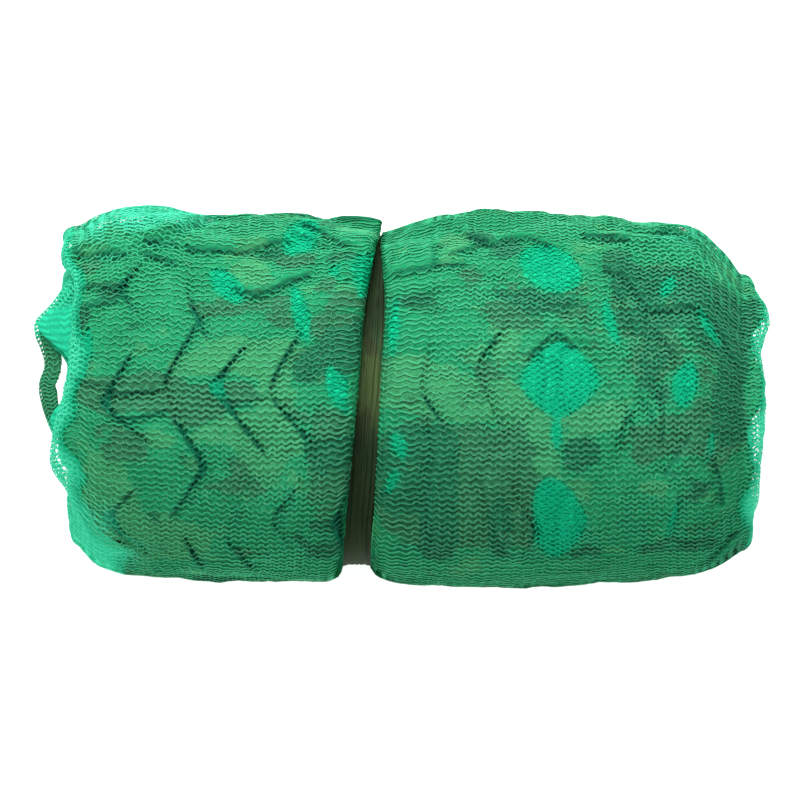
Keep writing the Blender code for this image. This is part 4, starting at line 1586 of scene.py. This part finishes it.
def knit_thread():
    """Green net yarn, tinted by what lies under the knit, with painted shade over slits and folds, a
    painted glow where the netting is thin, and painted brightness at the roll's back.
    """
    looks = Looks("knit_thread", "Object")
    fine = looks.noise(700.0)
    speckle = looks.step(fine, 0.5, 0.16)
    lay_print(looks)
    yarn = looks.mix(speckle, rgb(0.022, 0.300, 0.155), rgb(0.100, 0.435, 0.250))
    looks.colour = looks.mix(PRINT_OF_YARN, yarn, looks.colour)
    bright = looks.mix(speckle, rgb(0.001, 0.318, 0.150), rgb(0.004, 0.425, 0.208))
    # The net's bright colour where the cloth is open; at the roll's back this share also holds painted
    # brightness.
    looks.lay(looks.attribute("opened"), bright)
    # Painted glow where the netting is thin.
    looks.paint_glow(looks.mix(speckle, rgb(0.014, 0.330, 0.190), rgb(0.070, 0.460, 0.310)))
    # Painted shade on the yarn over narrow slits and at the foot of folds.
    looks.lay(looks.times(looks.attribute("deep"), 0.90), 0.003, 0.080, 0.045)
    looks.bump(fine, 0.35, 0.0004)
    return looks.finish(0.75, 0.05)


GAP_EDGE = 0.58  # of the painted shade between rows, from the yarn's middle at 0 to the gap's middle at 1
GAP_SOFT = 0.30
GAP_DARK = 0.62  # how dark the painted shade is, and how much less where the print or the mesh is light
GAP_PLAIN = 0.34
GAP_MESH = 0.24
GAP_RAGGED = 0.35
SPECKLED = 0.38
FLECKED = 0.22


def painted_row_shade(looks):
    """How much painted shade darkens the cloth between the knit's rows, where the yarn would shadow it.
    """
    wave = looks.math("SINE", looks.times(looks.attribute("wave"), math.tau))
    wave = looks.times(wave, looks.attribute("wave_height"))
    row = looks.times(wave, -0.5 * WAVE_HEIGHT / ROW_PITCH, looks.attribute("row"))
    row = looks.times(looks.uneven(330.0, 2.0), GAP_RAGGED, row)
    gap = looks.step(looks.times(looks.math("PINGPONG", row, 0.5), 2.0), GAP_EDGE, GAP_SOFT)
    darker = looks.math("MAXIMUM", looks.attribute("dark"), looks.attribute("brown"))
    plain = looks.step(looks.times(darker, -1.0), 0.25, 0.30)
    strength = looks.times(plain, -GAP_PLAIN, GAP_DARK)
    strength = looks.times(looks.attribute("mesh"), -GAP_MESH, strength)
    return looks.times(gap, looks.math("MAXIMUM", strength, 0.0))


def printed_material():
    """Thin woven cloth printed with woodland blotches."""
    looks = Looks("printed_cloth")
    lay_print(looks)
    warp, weft = (
        looks.node("ShaderNodeTexWave", {"bands_direction": way}, Vector=looks.where, Scale=320.0)
        for way in "XY"
    )
    weave = looks.math("MAXIMUM", warp.outputs[1], weft.outputs[1])
    speckle = looks.step(looks.noise(520.0), 0.52, 0.14)
    flecks = looks.step(looks.noise(300.0, 1.0), 0.60, 0.10)
    looks.lay(looks.times(weave, 0.15), 0.003, 0.07, 0.03)
    looks.lay(looks.times(speckle, SPECKLED), 0.034, 0.200, 0.090)
    looks.lay(looks.times(flecks, FLECKED), 0.060, 0.480, 0.260)
    # Painted shade between the knit's rows.
    looks.lay(painted_row_shade(looks), 0.002, 0.075, 0.035)
    # Painted shade in narrow slits and at the foot of folds.
    looks.lay(looks.attribute("deep"), *PAINTED_SHADE_COLOUR)
    looks.bump(weave, 0.4, 0.0003)
    return looks.finish(0.80, 0.08)


def net_material(name, threads, shaded_gaps, relief, is_deep):
    """The same knit seen as a surface: wavy threads, with the gaps between them darkened by painted
    shade.
    """
    looks = Looks(name)
    x, s, _ = looks.node("ShaderNodeSeparateXYZ", Vector=looks.where).outputs
    wave = looks.times(looks.math("PINGPONG", x, WAVE / 2), WAVE_HEIGHT / (WAVE / 2))
    row = looks.math("ADD", looks.math("ADD", s, wave), looks.times(looks.noise(30.0), 0.010))
    thread = looks.math("PINGPONG", row, ROW_PITCH / 2)
    cover = looks.step(looks.math("DIVIDE", thread, ROW_PITCH / 2), 0.45, 0.35)
    # The gaps' colour is the net in painted shade.
    looks.colour = rgb(*shaded_gaps)
    looks.lay(looks.noise(60.0, 3.0), shaded_gaps[0] * 0.5, shaded_gaps[1] * 0.6, shaded_gaps[2] * 0.55)
    looks.lay(cover, *threads)
    if is_deep:
        # Painted glow where the netting is thin, and painted shade in narrow slits and at the foot of
        # folds.
        looks.paint_glow(0.015, 0.420, 0.250)
        looks.lay(looks.attribute("deep"), *PAINTED_SHADE_COLOUR)
    looks.bump(cover, relief, 0.0010)
    return looks.finish(0.60, 0.10)


def tie_material():
    """The tie's printed cloth, dark and dull, with streaks along its pleats, and painted shade towards
    the roll's front and back.
    """
    looks = Looks("tie_cloth")
    stretched = looks.node("ShaderNodeMapping", Vector=looks.where, Scale=(900.0, 26.0, 1.0))
    streak = looks.noise(1.0, 3.0, stretched.outputs[0])
    looks.colour = rgb(0.050, 0.085, 0.026)
    looks.lay(looks.step(looks.noise(26.0), 0.50, 0.03), 0.026, 0.024, 0.013)
    looks.lay(looks.step(looks.noise(19.0, 1.0), 0.60, 0.03), 0.014, 0.052, 0.025)
    looks.lay(looks.step(streak, 0.55, 0.2), 0.120, 0.160, 0.065)
    # Painted shade towards the roll's front and back.
    looks.lay(looks.attribute("tie_painted_shade"), 0.010, 0.024, 0.009)
    looks.bump(streak, 0.5, 0.0005)
    return looks.finish(0.75, 0.15)


def floor_material():
    """White paper, lit from behind as well, as in a light box."""
    looks = Looks("pale_floor", "Object")
    looks.colour = looks.mix(looks.noise(3.0), rgb(0.90, 0.90, 0.90), rgb(0.93, 0.93, 0.93))
    return looks.finish(0.85, 0.1, Emission_Color=rgb(1, 1, 1), Emission_Strength=0.62)


# ------------ the print's blotches

# Places and sizes as seen, in mm; a squareness over 1 gives a blotch straighter sides.
BLOTCH_COLUMNS = "x y wide tall strength squareness"
BLOTCHES = {
    "light": table(BLOTCH_COLUMNS,
        (7, 16, 26, 14, 1.2), (39, -1, 50, 15, 1.3), (88, -15, 22, 22, 1.0),
        (100, -50, 11, 22, 0.9), (137, -15, 22, 10, 0.6), (74, 37, 8, 12, 0.8),
        (39, 112, 14, 11, 0.9), (179, -64, 12, 8, 0.8), (210, -67, 14, 8, 0.8),
        (-107, 88, 20, 12, 0.8), (-105, 30, 35, 13, 1.2), (-140, 23, 22, 11, 0.9),
        (-91, -22, 22, 36, 0.9), (-122, -22, 24, 15, 0.8), (-171, -29, 14, 7, 1.0),
        (-207, -70, 22, 26, 1.3), (-184, -99, 52, 24, 1.3), defaults=(1,)),
    "brown": table(BLOTCH_COLUMNS,
        (-175, 5, 52, 16, 1.2), (-213, 2, 18, 12, 0.9), (-140, -8, 26, 15, 0.9),
        (-200, -30, 26, 18, 1.0), (-112, 4, 14, 7, 0.8), (-129, 65, 20, 8, 0.8),
        (-87, 63, 17, 13, 0.8), (-70, 98, 18, 10, 0.8), (52, 84, 16, 14, 0.8),
        (72, 60, 18, 10, 0.7), (62, 10, 14, 14, 0.6), (-45, 76, 20, 15, 0.8),
        (-63, 23, 18, 15, 1.0), (-42, 51, 20, 13, 1.0), (-52, -50, 18, 46, 1.0),
        (-108, -60, 38, 20, 0.6), (-220, 95, 18, 10, 0.8), (161, 62, 15, 20, 0.9),
        (123, 60, 14, 7, 0.8), (175, 93, 14, 8, 0.8), (179, 34, 18, 28, 0.9),
        (224, -1, 26, 50, 1.1), (182, -29, 36, 18, 0.9), (210, 65, 28, 13, 0.9),
        (77, 86, 10, 13, 0.6), (112, 74, 36, 12, 0.6), (42, -66, 50, 48, 1.3, 2), defaults=(1,)),
    "dark": table(BLOTCH_COLUMNS,
        (29, -72, 12, 56, 1.2, 2), (6, -50, 16, 34, 1.0, 2), (70, -92, 10, 26, 0.7),
        (56, 114, 10, 8, 0.9), (140, 114, 18, 6, 0.9), (203, 76, 12, 20, 0.8),
        (238, -103, 18, 16, 1.1), (178, -104, 60, 10, 0.6), (196, -62, 22, 12, 0.5),
        (126, -40, 15, 17, 0.8), (168, 68, 24, 26, 0.9), (185, 86, 40, 12, 0.7),
        (205, 54, 18, 24, 0.7), (232, 40, 16, 44, 0.9), (178, 12, 14, 34, 0.7),
        (232, -12, 16, 34, 0.8), (-34, 50, 15, 28, 0.9), (-48, 30, 14, 20, 0.7),
        (-92, 103, 26, 8, 0.7), (28, 70, 26, 12, 0.6), (-30, 96, 14, 14, 0.7),
        (-66, 22, 10, 18, 0.7), (-42, 106, 20, 12, 0.6), (236, 66, 20, 30, 0.5),
        (78, 106, 10, 14, 0.5), (112, 64, 20, 8, 0.5), (142, 100, 22, 14, 0.6),
        (60, 104, 30, 12, 0.5), (-52, -34, 20, 26, 0.8), (-54, -100, 24, 26, 0.7),
        (96, 70, 26, 12, 0.5), (66, 84, 14, 16, 0.4), (-226, 55, 8, 16, 1.0),
        (-203, 76, 13, 9, 0.8), (-52, 123, 16, 7, 0.8), defaults=(1,)),
}

# The pattern round and between the blotches: the usual size of its patches, and its seed;
# edge is how much of it is left bare.
PRINT_PATTERN = {
    "light": (Rough(1.0, 0.050, 0.034, 81), 0.10),
    "brown": (Rough(1.0, 0.046, 0.028, 82), 0.30),
    "dark": (Rough(1.0, 0.052, 0.036, 83), 0.34),
}
PRINT_SLANT = 0.4
SEEN_FADE = 0.02
SEEN_CALMER, SEEN_BARER = 0.80, 0.25  # than elsewhere, where the blotches are placed one by one
FINER = table("amount size seed", (0.42, 0.38, 10), (0.24, 0.14, 20))  # shares, and seeds added


def print_fields(x, s):
    """How far inside a blotch of each tone a place of the cloth lies; above 0 is inside."""
    seen = smooth_step((s - length_at(SEEN_FROM)) / SEEN_FADE)
    seen = seen * smooth_step((length_at(SEEN_TO) - s) / SEEN_FADE)
    made = {}
    for tone, (rough, edge) in PRINT_PATTERN.items():
        field = noise(x + PRINT_SLANT * s, s, rough) * (1 - SEEN_CALMER * seen)
        field = field - edge - SEEN_BARER * seen
        for finer in FINER:
            sizes = rough.size_x * finer.size, rough.size_s * finer.size
            field = field + noise(x, s, Rough(finer.amount, *sizes, rough.seed + finer.seed))
        for blotch in BLOTCHES[tone]:
            field = field + blotch.strength * oval(blotch, x, s, blotch.squareness)
        made[tone] = field
    return made


# ------------ floor, camera and lights

FLOOR_REACH = 6.0
WORLD_STRENGTH = 0.62


def add_floor():
    mesh = bpy.data.meshes.new("floor")
    corners = [(FLOOR_REACH * x, FLOOR_REACH * y, 0) for x, y in ((-1, -1), (1, -1), (1, 1), (-1, 1))]
    mesh.from_pydata(corners, [], [(0, 1, 2, 3)])
    mesh.materials.append(floor_material())
    add_object("floor", mesh)


def add_light(name, place, size, power):
    data = bpy.data.lights.new(name, "AREA")
    data.shape = "DISK"
    data.size = size
    data.energy = power
    light = add_object(name, data, place)
    towards = Vector((0, 0, MIDDLE_HEIGHT)) - Vector(place)
    light.rotation_euler = towards.to_track_quat("-Z", "Y").to_euler()
    light.visible_camera = False


def add_camera():
    """Straight above, so high that the lobes' sides hardly show."""
    data = bpy.data.cameras.new("camera")
    data.lens_unit = "FOV"
    data.angle = 2 * math.atan(VIEW_WIDTH / 2 / (CAMERA_HEIGHT - MIDDLE_HEIGHT))
    data.clip_end = 50.0
    place = (CAMERA_X, CAMERA_Y, CAMERA_HEIGHT)
    bpy.context.scene.camera = add_object("camera", data, place)


def add_world():
    world = bpy.data.worlds.new("studio")
    world.use_nodes = True
    background = world.node_tree.nodes["Background"]
    background.inputs["Color"].default_value = rgb(1.0, 1.0, 1.0)
    background.inputs["Strength"].default_value = WORLD_STRENGTH
    bpy.context.scene.world = world


slits = all_slits()
holes = all_holes()
fields = make_fields()
thread = knit_thread()
knits = outer_knit(thread) + [inner_knit(thread)]
print_material = printed_material()
cloth = printed_cloth(print_material)
loops = end_loops(thread, print_material)
net = inner_net(net_material("inner_net", (0.002, 0.600, 0.290), (0.002, 0.500, 0.240), 0.8, True))
folded_net = net_material("folded_net", (0.014, 0.520, 0.290), (0.010, 0.430, 0.230), 0.35, False)
plies = rolled_plies(folded_net)
tie, tie_length = tie_cloth(tie_material())

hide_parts("rolled_netting")
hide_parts("tie_band")

add_floor()
add_light("high_light", (-0.25, 1.5, 1.6), 1.1, 52)
add_light("front_light", (-0.7, -1.2, 0.8), 1.2, 4.2)
add_camera()
add_world()
bpy.context.scene.view_settings.view_transform = "Standard"
